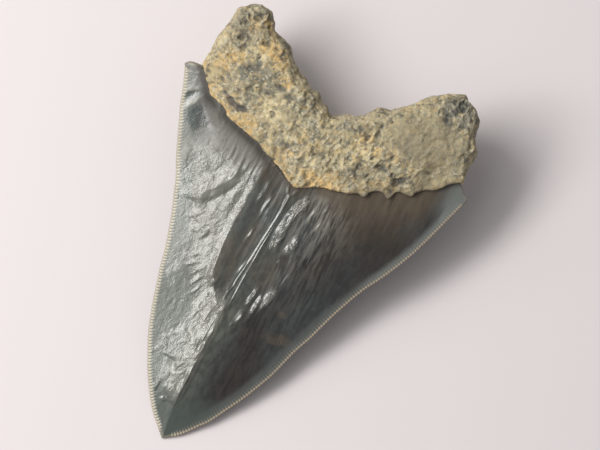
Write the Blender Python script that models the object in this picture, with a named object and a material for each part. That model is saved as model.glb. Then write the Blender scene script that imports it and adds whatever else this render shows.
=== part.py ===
"""A megalodon tooth, lying on its lingual (inner) face with the flatter labial (outer) face up.

The tooth grew as one piece, so it is one object. It is first shaped in its own frame, in millimetres:
x across the blade, y from the tip towards the root, z out of the labial face, and the two serrated
cutting edges in the plane z = 0. Then it is laid down, tip and root swelling on the floor z = 0, with
the middle of its box over the origin.

The crown is a blade whose rows run from one cutting edge to the other. The root is a bent bar of stone,
from one lobe round the notch to the other. A Boolean union makes them one solid.
"""

import math
from itertools import pairwise

import bmesh
import bpy
import numpy as np

MM = 0.001
TINY = 1e-6

# ---------------------------------------------------------------- outline, seen on the labial face, in mm
TIP = (-0.8, -0.6)
LEFT_EDGE = [
    TIP, (-6.6, 5.0), (-10.3, 10.0), (-13.4, 15.0), (-15.9, 20.0), (-20.0, 30.0), (-22.8, 40.0),
    (-25.0, 50.0), (-27.9, 60.0), (-31.5, 70.0), (-36.1, 80.0), (-40.1, 90.0), (-44.1, 101.2),
]
RIGHT_EDGE = [
    TIP, (5.8, 5.0), (9.6, 10.0), (12.6, 15.0), (15.5, 20.0), (20.0, 30.0), (23.2, 40.0), (27.0, 50.0),
    (30.7, 60.0), (33.0, 65.0), (36.2, 70.0), (38.6, 75.0), (40.9, 80.0), (44.5, 90.0), (48.3, 101.5),
]
# The ends of the crown's rows above the cutting edges: round each shoulder, then in under the root.
LEFT_SHOULDER = [(-43.2, 102.2), (-41.4, 102.7), (-39.4, 102.9), (-36.5, 103.1)]
RIGHT_SHOULDER = [(47.9, 102.7), (46.5, 103.6), (45.1, 105.1), (43.0, 106.6)]

# The root's lower side, from the left lobe's end round by the seam with the enamel to the right lobe's.
LEFT_LOBE_END = (-31.4, 126.6)
RIGHT_LOBE_END = (33.9, 129.6)
LEFT_SIDE = [
    LEFT_LOBE_END, (-34.3, 125.2), (-37.1, 122.7), (-37.7, 118.5), (-39.1, 113.0), (-38.8, 108.0),
    (-39.3, 103.1),
]
LEFT_SEAM = [
    (-39.3, 103.1), (-36.0, 99.4), (-33.6, 96.5), (-28.0, 94.8), (-24.5, 92.5), (-18.5, 91.0),
    (-11.5, 88.4), (-5.0, 86.0), (1.4, 83.3),
]
RIGHT_SEAM = [
    (1.4, 83.3), (4.5, 84.6), (10.0, 87.2), (20.0, 89.9), (23.5, 92.7), (27.0, 92.6), (29.2, 95.4),
    (33.6, 96.8), (37.0, 100.2), (40.5, 103.2), (44.8, 106.4),
]
RIGHT_SIDE = [
    (44.8, 106.4), (44.2, 111.0), (44.9, 115.2), (42.3, 119.3), (40.6, 124.4), (38.8, 126.6),
    (35.8, 127.4), RIGHT_LOBE_END,
]
# The notch side, from each lobe's end down to the bottom of the notch.
NOTCH_BOTTOM = (1.4, 107.0)
LEFT_NOTCH = [
    LEFT_LOBE_END, (-28.0, 126.0), (-24.8, 121.9), (-18.2, 119.5), (-13.5, 114.6), (-8.5, 111.3),
    (-4.6, 110.6), NOTCH_BOTTOM,
]
RIGHT_NOTCH = [
    RIGHT_LOBE_END, (30.2, 128.2), (25.2, 125.2), (20.2, 119.4), (16.4, 116.0), (11.2, 113.2),
    (7.4, 109.7), NOTCH_BOTTOM,
]

# ---------------------------------------------------------------- the crown's thickness, in mm
# Heights of the labial face and depths of the lingual face over the edges' plane, at distances y up
# from the tip, and the power that each cross-section falls off with towards its edges.
STATION_Y = [-0.6, 1.0, 4.0, 10.0, 20.0, 30.0, 45.0, 60.0, 75.0, 90.0, 107.0]
LABIAL_HEIGHT = [0.0, 0.6, 1.2, 2.0, 2.9, 3.6, 4.4, 4.8, 4.9, 4.8, 4.4]
LINGUAL_DEPTH = [0.0, 0.8, 1.9, 3.5, 5.4, 7.0, 9.0, 10.7, 12.0, 13.0, 13.2]
LABIAL_POWER = [1.3, 1.3, 1.3, 1.3, 1.3, 1.35, 1.6, 2.1, 2.4, 2.4, 2.4]
LINGUAL_POWER = 1.9
# The labial crest, a keel near the tip that becomes a fold between two shallow troughs.
KEEL_Y = [-0.6, 12.0, 30.0, 45.0, 60.0, 80.0, 107.0]
KEEL_X = [-0.8, -2.1, -1.7, -1.4, -0.7, 0.9, 1.6]
KEEL_BLUNTNESS = 0.05
SHOULDER_THINNING = 0.2

# Folds of the enamel that are wide enough to see from a step away: the points their crest passes
# through, how far it stands up, and how far its flanks reach.
FOLDS = [
    ([(0.8, 83.0), (0.4, 74.0), (-0.9, 60.0), (-1.9, 44.0)], 0.55, 1.4),
    ([(-9.9, 84.0), (-10.3, 72.0), (-10.5, 58.0), (-9.0, 46.0)], 0.50, 3.0),
    ([(7.0, 84.0), (3.9, 76.0), (3.6, 65.0)], 0.40, 1.8),
    ([(9.6, 70.0), (8.2, 64.0), (9.4, 54.0), (6.4, 43.0)], 0.35, 2.0),
    ([(-38.6, 90.4), (-34.5, 96.0), (-27.0, 91.4)], 0.60, 2.2),
    ([(-42.0, 95.0), (-35.5, 97.6)], 0.45, 1.6),
]
TROUGH_DEPTH = 0.45
TROUGH_CENTRES = [((-5.2, 84.0), (-5.0, 50.0)), ((12.0, 86.0), (7.0, 48.0))]
TROUGH_REACH = 4.5

# ---------------------------------------------------------------- serrations
SERRATIONS = 126
SERRATIONS_PER_ROW = 3
SERRATION_DEPTH = 0.40
BEVEL_WIDTH = 1.3
BEVEL_SHARE_MOST = 0.3  # of the half width, near the tip

# ---------------------------------------------------------------- the root's thickness, in mm
# Along the bar, 0 is the left lobe's end, 0.5 the middle and 1 the right lobe's end.
SHOULDER_AT = 0.22
MIDDLE_AT = 0.5
BAR_AT = [0.0, 0.10, 0.22, 0.34, 0.43, 0.50, 0.57, 0.66, 0.78, 0.90, 1.0]
ROOT_HEIGHT = [3.6, 5.2, 6.4, 7.2, 7.5, 7.6, 7.5, 7.3, 6.6, 5.4, 3.8]
ROOT_DEPTH = [5.0, 8.5, 12.0, 16.0, 18.9, 19.3, 18.9, 16.0, 12.0, 8.5, 5.0]
LOBE_CLOSURE = 0.10
NOTCH_SPACING_POWER = 1.4
SIDE_ROUNDING = 0.36
NOTCH_ROUNDING = 0.40
SWELL_REACH = 0.5
SEAM_LEDGE = 0.9
SEAM_LEDGE_LINGUAL = 1.2
SEAM_DROP_LINGUAL = 9.0
SEAM_BLEND = 0.04
BURIED_SHARE = 0.4
ROOT_LUMPS = [(9.0, 1.0, 11), (4.0, 0.6, 12)]  # lattice cell, height, seed
LUMPS_FULL_AT = 4.0  # distance from the edges' plane
LUMPS_WORN_FROM, LUMPS_WORN_TO = 12.0, 17.0  # the swelling is rubbed smoother between these depths
LUMPS_LEFT = 0.35

# ---------------------------------------------------------------- how it lies, and the meshes' fineness
LIE_DEG = 11.0
WORN_FLAT = 0.8
CROWN_COLUMNS_LABIAL = 15
CROWN_COLUMNS_LINGUAL = 8
COLUMN_CROWDING = 1.5
ROOT_STATIONS = 77
STATION_CROWDING = 0.5
ROOT_POINTS_ACROSS = 14
RIM_CROWDING = 1.2
CURVE_SAMPLES = 24
MERGE_DISTANCE = 0.02

ENAMEL_COLOUR = (0.055, 0.062, 0.060, 1.0)
ROOT_COLOUR = (0.33, 0.28, 0.19, 1.0)
ENAMEL_ROUGHNESS = 0.35
ROOT_ROUGHNESS = 0.9


# ---------------------------------------------------------------- curves
def curve_through(points):
    """A Catmull-Rom curve through the points, each span in CURVE_SAMPLES steps."""
    knots = np.array(points, float)
    knots = np.vstack([2 * knots[0] - knots[1], knots, 2 * knots[-1] - knots[-2]])
    before, start, end, after = (knots[i : len(knots) - 3 + i, None] for i in range(4))
    u = np.linspace(0, 1, CURVE_SAMPLES, endpoint=False)[:, None]
    spans = 0.5 * (
        2 * start
        + (end - before) * u
        + (2 * before - 5 * start + 4 * end - after) * u**2
        + (3 * start - before - 3 * end + after) * u**3
    )
    return np.vstack([spans.reshape(-1, knots.shape[1]), knots[-2]])


def along(points, shares):
    """Points at these shares of the length of the curve through the given points."""
    curve = curve_through(points)
    steps = np.linalg.norm(np.diff(curve, axis=0), axis=1)
    length = np.concatenate([[0], np.cumsum(steps)])
    at = np.asarray(shares, float) * length[-1]
    return np.stack([np.interp(at, length, curve[:, k]) for k in range(2)], axis=-1)


def profile(at, marks, values):
    """A smooth curve's value at each place, through the values at the marks."""
    curve = curve_through(np.column_stack([marks, values]))
    return np.interp(at, curve[:, 0], curve[:, 1])


def rounded(distance):
    """A quarter circle's height at a share of its radius in from the rim, 0 at the rim, 1 past the radius."""
    return np.sqrt(1 - (1 - np.clip(distance, 0, 1)) ** 2)


def eased(share):
    share = np.clip(share, 0, 1)
    return share * share * (3 - 2 * share)


def distance_to_line(points, line):
    """Each point's distance in x and y from a polyline."""
    start, end = np.array(line[:-1], float), np.array(line[1:], float)
    run = end - start
    offset = points[..., None, :] - start
    share = np.clip((offset * run).sum(-1) / (run * run).sum(-1), 0, 1)
    return np.linalg.norm(offset - share[..., None] * run, axis=-1).min(-1)


def lattice_noise(points, cell, seed):
    """Smooth noise from -1 to 1: a value for each corner of a cubic lattice, eased between corners."""
    order = np.random.default_rng(seed).permutation(256)
    place = points / cell
    corner = np.floor(place).astype(int)
    ease = eased(place - corner)
    total = np.zeros(points.shape[:-1])
    for step in np.ndindex(2, 2, 2):
        x, y, z = np.moveaxis(corner + step, -1, 0)
        value = order[(order[(order[x % 256] + y) % 256] + z) % 256] / 127.5 - 1
        weight = np.where(step, ease, 1 - ease).prod(-1)
        total += weight * value
    return total


# ---------------------------------------------------------------- the crown's faces
def crown_side(points):
    """How far across the blade each point lies: 0 on the keel, -1 and 1 on the cutting edges."""
    x, y = points[..., 0], points[..., 1]
    left, right = curve_through(LEFT_EDGE), curve_through(RIGHT_EDGE)
    keel = profile(y, KEEL_Y, KEEL_X)
    left_reach = keel - np.interp(y, left[:, 1], left[:, 0])
    right_reach = np.interp(y, right[:, 1], right[:, 0]) - keel
    reach = np.maximum(np.where(x < keel, left_reach, right_reach), TINY)
    return np.clip((x - keel) / reach, -1, 1)


def folds(points):
    """The enamel's ridges, less the two troughs beside the keel. A ridge fades out at its ends."""
    relief = np.zeros(points.shape[:-1])
    for line, height, reach in FOLDS:
        near = distance_to_line(points, line) / reach
        relief += height * np.exp(-(near**2))
    for line in TROUGH_CENTRES:
        near = distance_to_line(points, line) / TROUGH_REACH
        relief -= TROUGH_DEPTH * np.exp(-(near**2))
    return relief


def labial_height(points):
    """The labial face's height over the edges' plane."""
    y, side = points[..., 1], crown_side(points)
    height = profile(y, STATION_Y, LABIAL_HEIGHT)
    power = np.interp(y, STATION_Y, LABIAL_POWER)
    blunt = np.hypot(side, KEEL_BLUNTNESS) - KEEL_BLUNTNESS * (1 - np.abs(side))
    fade = rounded(2 * (1 - np.abs(side)))
    return height * (1 - blunt**power) + folds(points) * fade


def lingual_depth(points):
    """The lingual face's depth under the edges' plane."""
    depth = profile(points[..., 1], STATION_Y, LINGUAL_DEPTH)
    return depth * (1 - np.abs(crown_side(points)) ** LINGUAL_POWER)


# ---------------------------------------------------------------- meshes as points and faces
def grid_faces(numbers):
    """Quads between neighbouring rows of a grid of point numbers."""
    corners = [numbers[:-1, :-1], numbers[:-1, 1:], numbers[1:, 1:], numbers[1:, :-1]]
    return np.stack(corners, axis=-1).reshape(-1, 4).tolist()


def edge_points(edge):
    """Serration tips and gullets in turn along a cutting edge, from the tip up, in the edges' plane."""
    count = 2 * SERRATIONS + 1
    line = along(edge, np.linspace(0, 1, count))
    run = np.gradient(line, axis=0)
    inward = np.stack([-run[:, 1], run[:, 0]], axis=1) / np.linalg.norm(run, axis=1)[:, None]
    if edge is LEFT_EDGE:
        inward = -inward
    gullet = np.arange(count) % 2 == 1
    line[gullet] += SERRATION_DEPTH * inward[gullet]
    return np.column_stack([line, np.zeros(count)])


def crown_rows():
    """The two ends of every row of the blade: on the cutting edges, then round the shoulders."""
    shares = np.linspace(0, 1, SERRATIONS // SERRATIONS_PER_ROW + 1)
    left = np.vstack([along(LEFT_EDGE, shares), LEFT_SHOULDER])
    right = np.vstack([along(RIGHT_EDGE, shares), RIGHT_SHOULDER])
    return left, right, len(shares)


def crown_face(left, right, columns, height, sign, serrated_rows):
    """One face of the blade inside its two edges, as rows by columns, crowded together at the keel."""
    spread = np.linspace(-1, 1, 2 * columns + 1)
    spread = np.sign(spread) * np.abs(spread) ** COLUMN_CROWDING
    middle_y = (left[:, 1] + right[:, 1]) / 2
    keel = np.clip(profile(middle_y, KEEL_Y, KEEL_X), left[:, 0], right[:, 0])
    share = (keel - left[:, 0]) / np.maximum(right[:, 0] - left[:, 0], TINY)
    middle = left + share[:, None] * (right - left)
    points = np.empty((len(left), len(spread), 3))
    for end, part in ((left, spread <= 0), (right, spread > 0)):
        reach = np.linalg.norm(end - middle, axis=1)
        inner = 1 - np.minimum(BEVEL_WIDTH / np.maximum(reach, TINY), BEVEL_SHARE_MOST)
        steps = np.abs(spread[part])[None, :, None] * inner[:, None, None]
        points[:, part, :2] = middle[:, None] + steps * (end - middle)[:, None]
    points[..., 2] = sign * height(points[..., :2])
    past = np.arange(len(left)) - serrated_rows + 1
    points[..., 2] *= np.where(past > 0, 1 - SHOULDER_THINNING * past, 1)[:, None]
    return points


def crown_mesh():
    """The blade as (points, faces): two faces in rows, joined along each edge by fans of serrations."""
    left, right, serrated_rows = crown_rows()
    faces_of = (
        (CROWN_COLUMNS_LABIAL, labial_height, 1),
        (CROWN_COLUMNS_LINGUAL, lingual_depth, -1),
    )
    points, faces, numbers = [], [], []

    def add(block):
        """Keeps a block of points and gives back their numbers, in the block's own shape."""
        start = sum(len(kept) for kept in points)
        points.append(block.reshape(-1, 3))
        return start + np.arange(block[..., 0].size).reshape(block.shape[:-1])

    for columns, height, sign in faces_of:
        grid = add(crown_face(left, right, columns, height, sign, serrated_rows))
        numbers.append(grid)
        faces += grid_faces(grid if sign > 0 else grid[:, ::-1])

    fine = 2 * SERRATIONS_PER_ROW
    for edge, ends, column in ((LEFT_EDGE, left, 0), (RIGHT_EDGE, right, -1)):
        flat_ends = np.column_stack([ends, np.zeros(len(ends))])
        rim = add(np.vstack([edge_points(edge), flat_ends[serrated_rows:]]))
        stops = [fine * r for r in range(serrated_rows)]
        stops += [stops[-1] + 1 + i for i in range(len(ends) - serrated_rows)]
        for grid, up in zip(numbers, (True, False), strict=True):
            for row, (first, last) in enumerate(pairwise(stops)):
                fan = [grid[row + 1, column], grid[row, column], *rim[first : last + 1]]
                faces.append(fan if up == (column == -1) else fan[::-1])
        numbers = [
            np.column_stack([rim[stops], g] if column == 0 else [g, rim[stops]]) for g in numbers
        ]
    labial, lingual = numbers
    faces.append([*labial[-1], *lingual[-1][-2:0:-1]])
    return np.vstack(points), faces


# ---------------------------------------------------------------- the root
def bar_curve(pieces, at, marks):
    """Points along curves that follow on from each other, which meet at the given marks of the bar."""
    found = np.empty((len(at), 2))
    for piece, (low, high) in zip(pieces, pairwise(marks), strict=True):
        inside = (at >= low) & (at <= high)
        found[inside] = along(piece, (at[inside] - low) / (high - low))
    return found


def root_outline(at):
    """The lower side, the notch side and the lingual seam of the bar at these stations."""
    shoulders = [0.0, SHOULDER_AT, MIDDLE_AT, 1 - SHOULDER_AT, 1.0]
    lower = bar_curve([LEFT_SIDE, LEFT_SEAM, RIGHT_SEAM, RIGHT_SIDE], at, shoulders)
    half = 1 - np.abs(2 * at - 1)
    notch = np.where(
        (at <= MIDDLE_AT)[:, None],
        along(LEFT_NOTCH, half**NOTCH_SPACING_POWER),
        along(RIGHT_NOTCH, half**NOTCH_SPACING_POWER),
    )
    inside = np.clip((half / 2 - SHOULDER_AT) / (MIDDLE_AT - SHOULDER_AT), 0, 1)
    lingual = lower - np.stack([0 * at, SEAM_DROP_LINGUAL * np.sin(inside * np.pi / 2)], axis=1)
    return lower, notch, lingual


def root_face(start, end, rim_height, swell, free, closure):
    """One face of the bar as stations by points, from its lower side to its notch side.

    It starts at the ledge over the crown, or at nothing on a free side, eases up to the swelling, and
    rolls off in quarter circles at its free rims and at the lobes' ends."""
    across = np.linspace(0, 1, ROOT_POINTS_ACROSS) ** RIM_CROWDING
    points = start[:, None] + across[:, None] * (end - start)[:, None]
    rim = rim_height + (swell - rim_height) * free
    height = rim[:, None] + (swell - rim)[:, None] * eased(across / SWELL_REACH)
    side = 1 - free[:, None] * (1 - rounded(across / SIDE_ROUNDING))
    height = height * side * rounded((1 - across) / NOTCH_ROUNDING) * closure[:, None]
    return np.concatenate([points, height[..., None]], axis=-1)


def root_mesh():
    """The bar as (points, faces): closed loops round it, from one lobe's end to the other's."""
    at = np.linspace(0, 1, ROOT_STATIONS)
    at = at - STATION_CROWDING * np.sin(4 * np.pi * at) / (4 * np.pi)
    lower, notch, lingual = root_outline(at)
    from_end = np.minimum(at, 1 - at)
    closure = rounded(from_end / LOBE_CLOSURE)
    free = 1 - eased((from_end - SHOULDER_AT + SEAM_BLEND) / (2 * SEAM_BLEND))
    crown_top, crown_under = labial_height(lower), lingual_depth(lingual)
    swell_top, swell_under = profile(at, BAR_AT, ROOT_HEIGHT), profile(at, BAR_AT, ROOT_DEPTH)
    top = root_face(lower, notch, crown_top + SEAM_LEDGE, swell_top, free, closure)
    under = root_face(lingual, notch, crown_under + SEAM_LEDGE_LINGUAL, swell_under, free, closure)
    under[..., 2] *= -1
    buried = BURIED_SHARE * (1 - free)
    wall_top = np.column_stack([lower, buried * crown_top])[:, None]
    wall_under = np.column_stack([lingual, -buried * crown_under])[:, None]
    loops = np.concatenate([wall_top, top, under[:, -2::-1], wall_under], axis=1)
    loops = with_lumps(loops, closure)
    numbers = np.arange(loops[..., 0].size).reshape(loops.shape[:2])
    ringed = np.column_stack([numbers, numbers[:, 0]])
    return loops.reshape(-1, 3), grid_faces(ringed[:, ::-1])


def with_lumps(loops, closure):
    """The stone's lumps and hollows, pushed out along z: none at the rims, few where it lies on them."""
    lift = sum(h * lattice_noise(loops, cell, seed) for cell, h, seed in ROOT_LUMPS)
    room = np.clip(np.abs(loops[..., 2]) / LUMPS_FULL_AT, 0, 1)
    worn = eased((-loops[..., 2] - LUMPS_WORN_FROM) / (LUMPS_WORN_TO - LUMPS_WORN_FROM))
    lift *= 1 - (1 - LUMPS_LEFT) * worn
    loops[..., 2] += np.sign(loops[..., 2]) * lift * room * closure[:, None]
    return loops


# ---------------------------------------------------------------- laying it down, and the object
def laid_down(shapes):
    """Turns the shapes' points so that the tip and the root's swelling touch the floor, wears the touching
    points flat, and puts the middle of the box over the origin."""
    turn = math.radians(LIE_DEG)
    turned = []
    for points in shapes:
        x, y, z = points.T
        turned.append(np.column_stack([
            x,
            y * math.cos(turn) - z * math.sin(turn),
            y * math.sin(turn) + z * math.cos(turn),
        ]))
    floor = min(points[:, 2].min() for points in turned) + WORN_FLAT
    for points in turned:
        points[:, 2] = np.maximum(points[:, 2] - floor, 0)
    low = np.min([points.min(0) for points in turned], axis=0)
    high = np.max([points.max(0) for points in turned], axis=0)
    middle = np.array([(low[0] + high[0]) / 2, (low[1] + high[1]) / 2, 0])
    return [points - middle for points in turned]


def material(name, colour, roughness):
    made = bpy.data.materials.new(name)
    made.use_nodes = True
    shader = made.node_tree.nodes["Principled BSDF"]
    shader.inputs["Base Color"].default_value = colour
    shader.inputs["Roughness"].default_value = roughness
    shader.inputs["Metallic"].default_value = 0.0
    made.diffuse_color = colour
    return made


def solid(name, points, faces, finish):
    """A closed mesh object from millimetre points, its doubled points merged."""
    mesh = bpy.data.meshes.new(name)
    mesh.from_pydata((points * MM).tolist(), [], faces)
    made = bmesh.new()
    made.from_mesh(mesh)
    bmesh.ops.remove_doubles(made, verts=made.verts, dist=MERGE_DISTANCE * MM)
    bmesh.ops.triangulate(made, faces=made.faces)
    bmesh.ops.dissolve_degenerate(made, edges=made.edges, dist=MERGE_DISTANCE * MM)
    bmesh.ops.recalc_face_normals(made, faces=made.faces)
    made.to_mesh(mesh)
    made.free()
    mesh.shade_smooth()
    mesh.materials.append(finish)
    shape = bpy.data.objects.new(name, mesh)
    bpy.context.scene.collection.objects.link(shape)
    return shape


def build():
    for old in list(bpy.data.objects):
        bpy.data.objects.remove(old)
    crown, root = crown_mesh(), root_mesh()
    crown_points, root_points = laid_down([crown[0], root[0]])
    tooth = solid(
        "tooth", crown_points, crown[1], material("enamel", ENAMEL_COLOUR, ENAMEL_ROUGHNESS)
    )
    root_form = solid(
        "root_form", root_points, root[1], material("root_stone", ROOT_COLOUR, ROOT_ROUGHNESS)
    )
    root_form.hide_render = True
    root_form.display_type = "WIRE"
    union = tooth.modifiers.new("root", "BOOLEAN")
    union.operation = "UNION"
    union.solver = "EXACT"
    union.object = root_form


build()
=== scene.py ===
"""A megalodon tooth on a pale table: folded, polished enamel on a rough stone root.

Both pieces are worked out in the tooth's own frame, in millimetres, as the solid is: x across the blade,
y from the tip towards the root, z out of the labial (outer) face, and the cutting edges in the plane
z = 0. laid_down() then turns them onto the table. The solid's box places them.
"""

import math

import bpy
import numpy as np
from mathutils import Matrix, Vector


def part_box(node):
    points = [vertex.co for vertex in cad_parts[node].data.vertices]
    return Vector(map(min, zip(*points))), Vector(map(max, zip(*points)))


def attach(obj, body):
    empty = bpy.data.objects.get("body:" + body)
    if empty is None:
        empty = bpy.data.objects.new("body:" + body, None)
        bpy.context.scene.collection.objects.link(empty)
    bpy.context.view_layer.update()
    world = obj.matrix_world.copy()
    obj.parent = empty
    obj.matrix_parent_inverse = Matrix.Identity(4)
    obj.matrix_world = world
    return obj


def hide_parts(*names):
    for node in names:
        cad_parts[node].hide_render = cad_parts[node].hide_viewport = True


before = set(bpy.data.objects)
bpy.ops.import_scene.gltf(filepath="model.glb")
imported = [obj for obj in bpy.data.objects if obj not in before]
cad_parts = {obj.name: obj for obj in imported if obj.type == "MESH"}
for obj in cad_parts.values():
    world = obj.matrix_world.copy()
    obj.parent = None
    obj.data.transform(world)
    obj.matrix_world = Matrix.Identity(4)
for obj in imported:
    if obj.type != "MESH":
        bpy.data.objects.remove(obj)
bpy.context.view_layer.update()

MM = 0.001
TINY = 1e-6

# ---------------------------------------------------------------- outline, seen on the labial face, in mm
TIP = (-0.8, -0.6)
LEFT_EDGE = [
    TIP, (-6.6, 5.0), (-10.3, 10.0), (-13.4, 15.0), (-15.9, 20.0), (-18.2, 25.0), (-20.0, 30.0),
    (-21.5, 35.0), (-22.8, 40.0), (-24.1, 45.0), (-25.1, 50.0), (-26.5, 55.0), (-28.0, 60.0),
    (-29.8, 65.0), (-31.6, 70.0), (-34.0, 75.0), (-36.1, 80.0), (-38.1, 85.0), (-40.1, 90.0),
    (-41.7, 95.0), (-44.1, 101.2),
]
RIGHT_EDGE = [
    TIP, (3.5, 2.5), (7.7, 7.5), (9.7, 10.0), (12.6, 15.0), (15.4, 20.0), (17.8, 25.0), (20.0, 30.0),
    (21.6, 35.0), (23.2, 40.0), (25.3, 45.0), (27.0, 50.0), (28.8, 55.0), (30.8, 60.0), (33.1, 65.0),
    (36.0, 70.0), (38.6, 75.0), (40.9, 80.0), (42.8, 85.0), (44.5, 90.0), (46.1, 95.0),
    (48.2, 101.4),
]
# The ends of the crown's rows above the cutting edges: round each shoulder, then in under the root.
LEFT_SHOULDER = [(-44.1, 101.2), (-43.0, 102.3), (-41.5, 102.7), (-39.4, 102.9), (-36.0, 103.1)]
RIGHT_SHOULDER = [(48.2, 101.4), (48.0, 102.6), (46.5, 103.6), (45.1, 105.0), (42.5, 106.6)]

LEFT_LOBE_END = (-31.4, 126.6)
RIGHT_LOBE_END = (33.9, 129.6)
LEFT_SIDE = [
    LEFT_LOBE_END, (-34.2, 125.2), (-35.5, 123.8), (-37.0, 122.7), (-37.4, 120.8), (-37.8, 118.0),
    (-38.4, 115.0), (-39.1, 112.8), (-39.0, 110.2), (-38.8, 108.0), (-39.2, 105.2), (-39.4, 103.1),
]
LEFT_SEAM = [
    (-39.4, 103.1), (-38.0, 101.8), (-36.5, 99.8), (-35.0, 98.4), (-33.5, 96.4), (-30.2, 95.5),
    (-27.5, 94.6), (-25.5, 92.8), (-22.5, 92.0), (-19.0, 91.3), (-17.0, 90.7), (-14.0, 90.0),
    (-12.0, 88.5), (-9.5, 87.6), (-7.5, 86.8), (-4.5, 85.8), (-2.4, 84.6), (-0.2, 83.6), (1.4, 83.1),
]
RIGHT_SEAM = [
    (1.4, 83.1), (4.0, 84.2), (6.9, 86.0), (10.0, 87.0), (14.0, 87.9), (18.0, 89.3), (20.5, 90.0),
    (21.4, 91.5), (23.4, 92.8), (25.4, 93.0), (27.0, 92.3), (28.2, 94.6), (29.5, 95.5), (32.8, 96.0),
    (33.6, 97.6), (36.0, 99.6), (38.5, 101.0), (40.5, 103.4), (42.5, 105.1), (44.8, 106.4),
]
RIGHT_SIDE = [
    (44.8, 106.4), (44.3, 108.0), (44.2, 111.5), (44.8, 114.2), (44.7, 115.7), (43.5, 117.3),
    (42.2, 119.3), (41.5, 121.6), (40.5, 124.5), (39.0, 126.6), (36.0, 127.4), (34.9, 128.8),
    RIGHT_LOBE_END,
]
NOTCH_BOTTOM = (1.4, 106.9)
LEFT_NOTCH = [
    LEFT_LOBE_END, (-30.0, 126.2), (-28.0, 125.9), (-26.8, 124.7), (-25.5, 123.3), (-24.6, 121.8),
    (-22.5, 121.0), (-20.4, 120.4), (-18.2, 119.6), (-16.8, 117.8), (-15.0, 115.8), (-13.6, 114.9),
    (-12.6, 113.6), (-10.3, 112.9), (-8.8, 111.6), (-7.0, 110.8), (-5.0, 110.9), (-3.6, 109.6),
    (-2.3, 108.8), (-0.8, 108.6), (0.3, 107.5), NOTCH_BOTTOM,
]
RIGHT_NOTCH = [
    RIGHT_LOBE_END, (30.3, 128.3), (28.0, 127.1), (25.2, 125.0), (23.0, 122.5), (20.8, 119.9),
    (18.6, 117.9), (16.4, 116.0), (13.0, 115.0), (11.2, 113.0), (9.7, 110.9), (7.5, 109.6),
    (5.0, 109.1), (3.5, 107.8), NOTCH_BOTTOM,
]

# ---------------------------------------------------------------- the crown's thickness, in mm
STATION_Y = [-0.6, 1.0, 4.0, 10.0, 20.0, 30.0, 45.0, 60.0, 75.0, 90.0, 107.0]
LABIAL_HEIGHT = [0.0, 0.28, 0.52, 1.1, 2.5, 3.35, 3.7, 4.3, 4.9, 5.25, 5.0]
LINGUAL_DEPTH = [0.0, 0.8, 1.9, 3.5, 5.4, 7.0, 9.0, 10.7, 12.0, 13.0, 13.2]
LABIAL_POWER = [1.05, 1.05, 1.05, 1.05, 1.0, 0.95, 0.72, 0.80, 0.95, 1.10, 1.2]
LINGUAL_POWER = 1.9
KEEL_Y = [-0.6, 12.0, 20.0, 30.0, 40.0, 50.0, 60.0, 70.0, 80.0, 107.0]
KEEL_X = [-0.8, -2.1, -2.0, -1.2, -0.7, -0.5, -0.2, 0.3, 1.0, 1.6]
# Near the root the blade is flat for this far on either side of the keel.
FLAT_Y = [-0.6, 14.0, 26.0, 34.0, 40.0, 45.0, 50.0, 55.0, 62.0, 70.0, 80.0, 90.0, 107.0]
FLAT_LEFT = [0.0, 0.0, 0.1, 0.5, 2.2, 5.6, 8.4, 9.4, 9.9, 10.1, 10.4, 10.8, 10.8]
FLAT_RIGHT = [0.0, 0.0, 0.5, 2.0, 5.5, 8.5, 10.2, 11.4, 12.6, 13.6, 14.0, 14.5, 14.5]
KEEL_BLUNTNESS = 0.02

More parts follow.
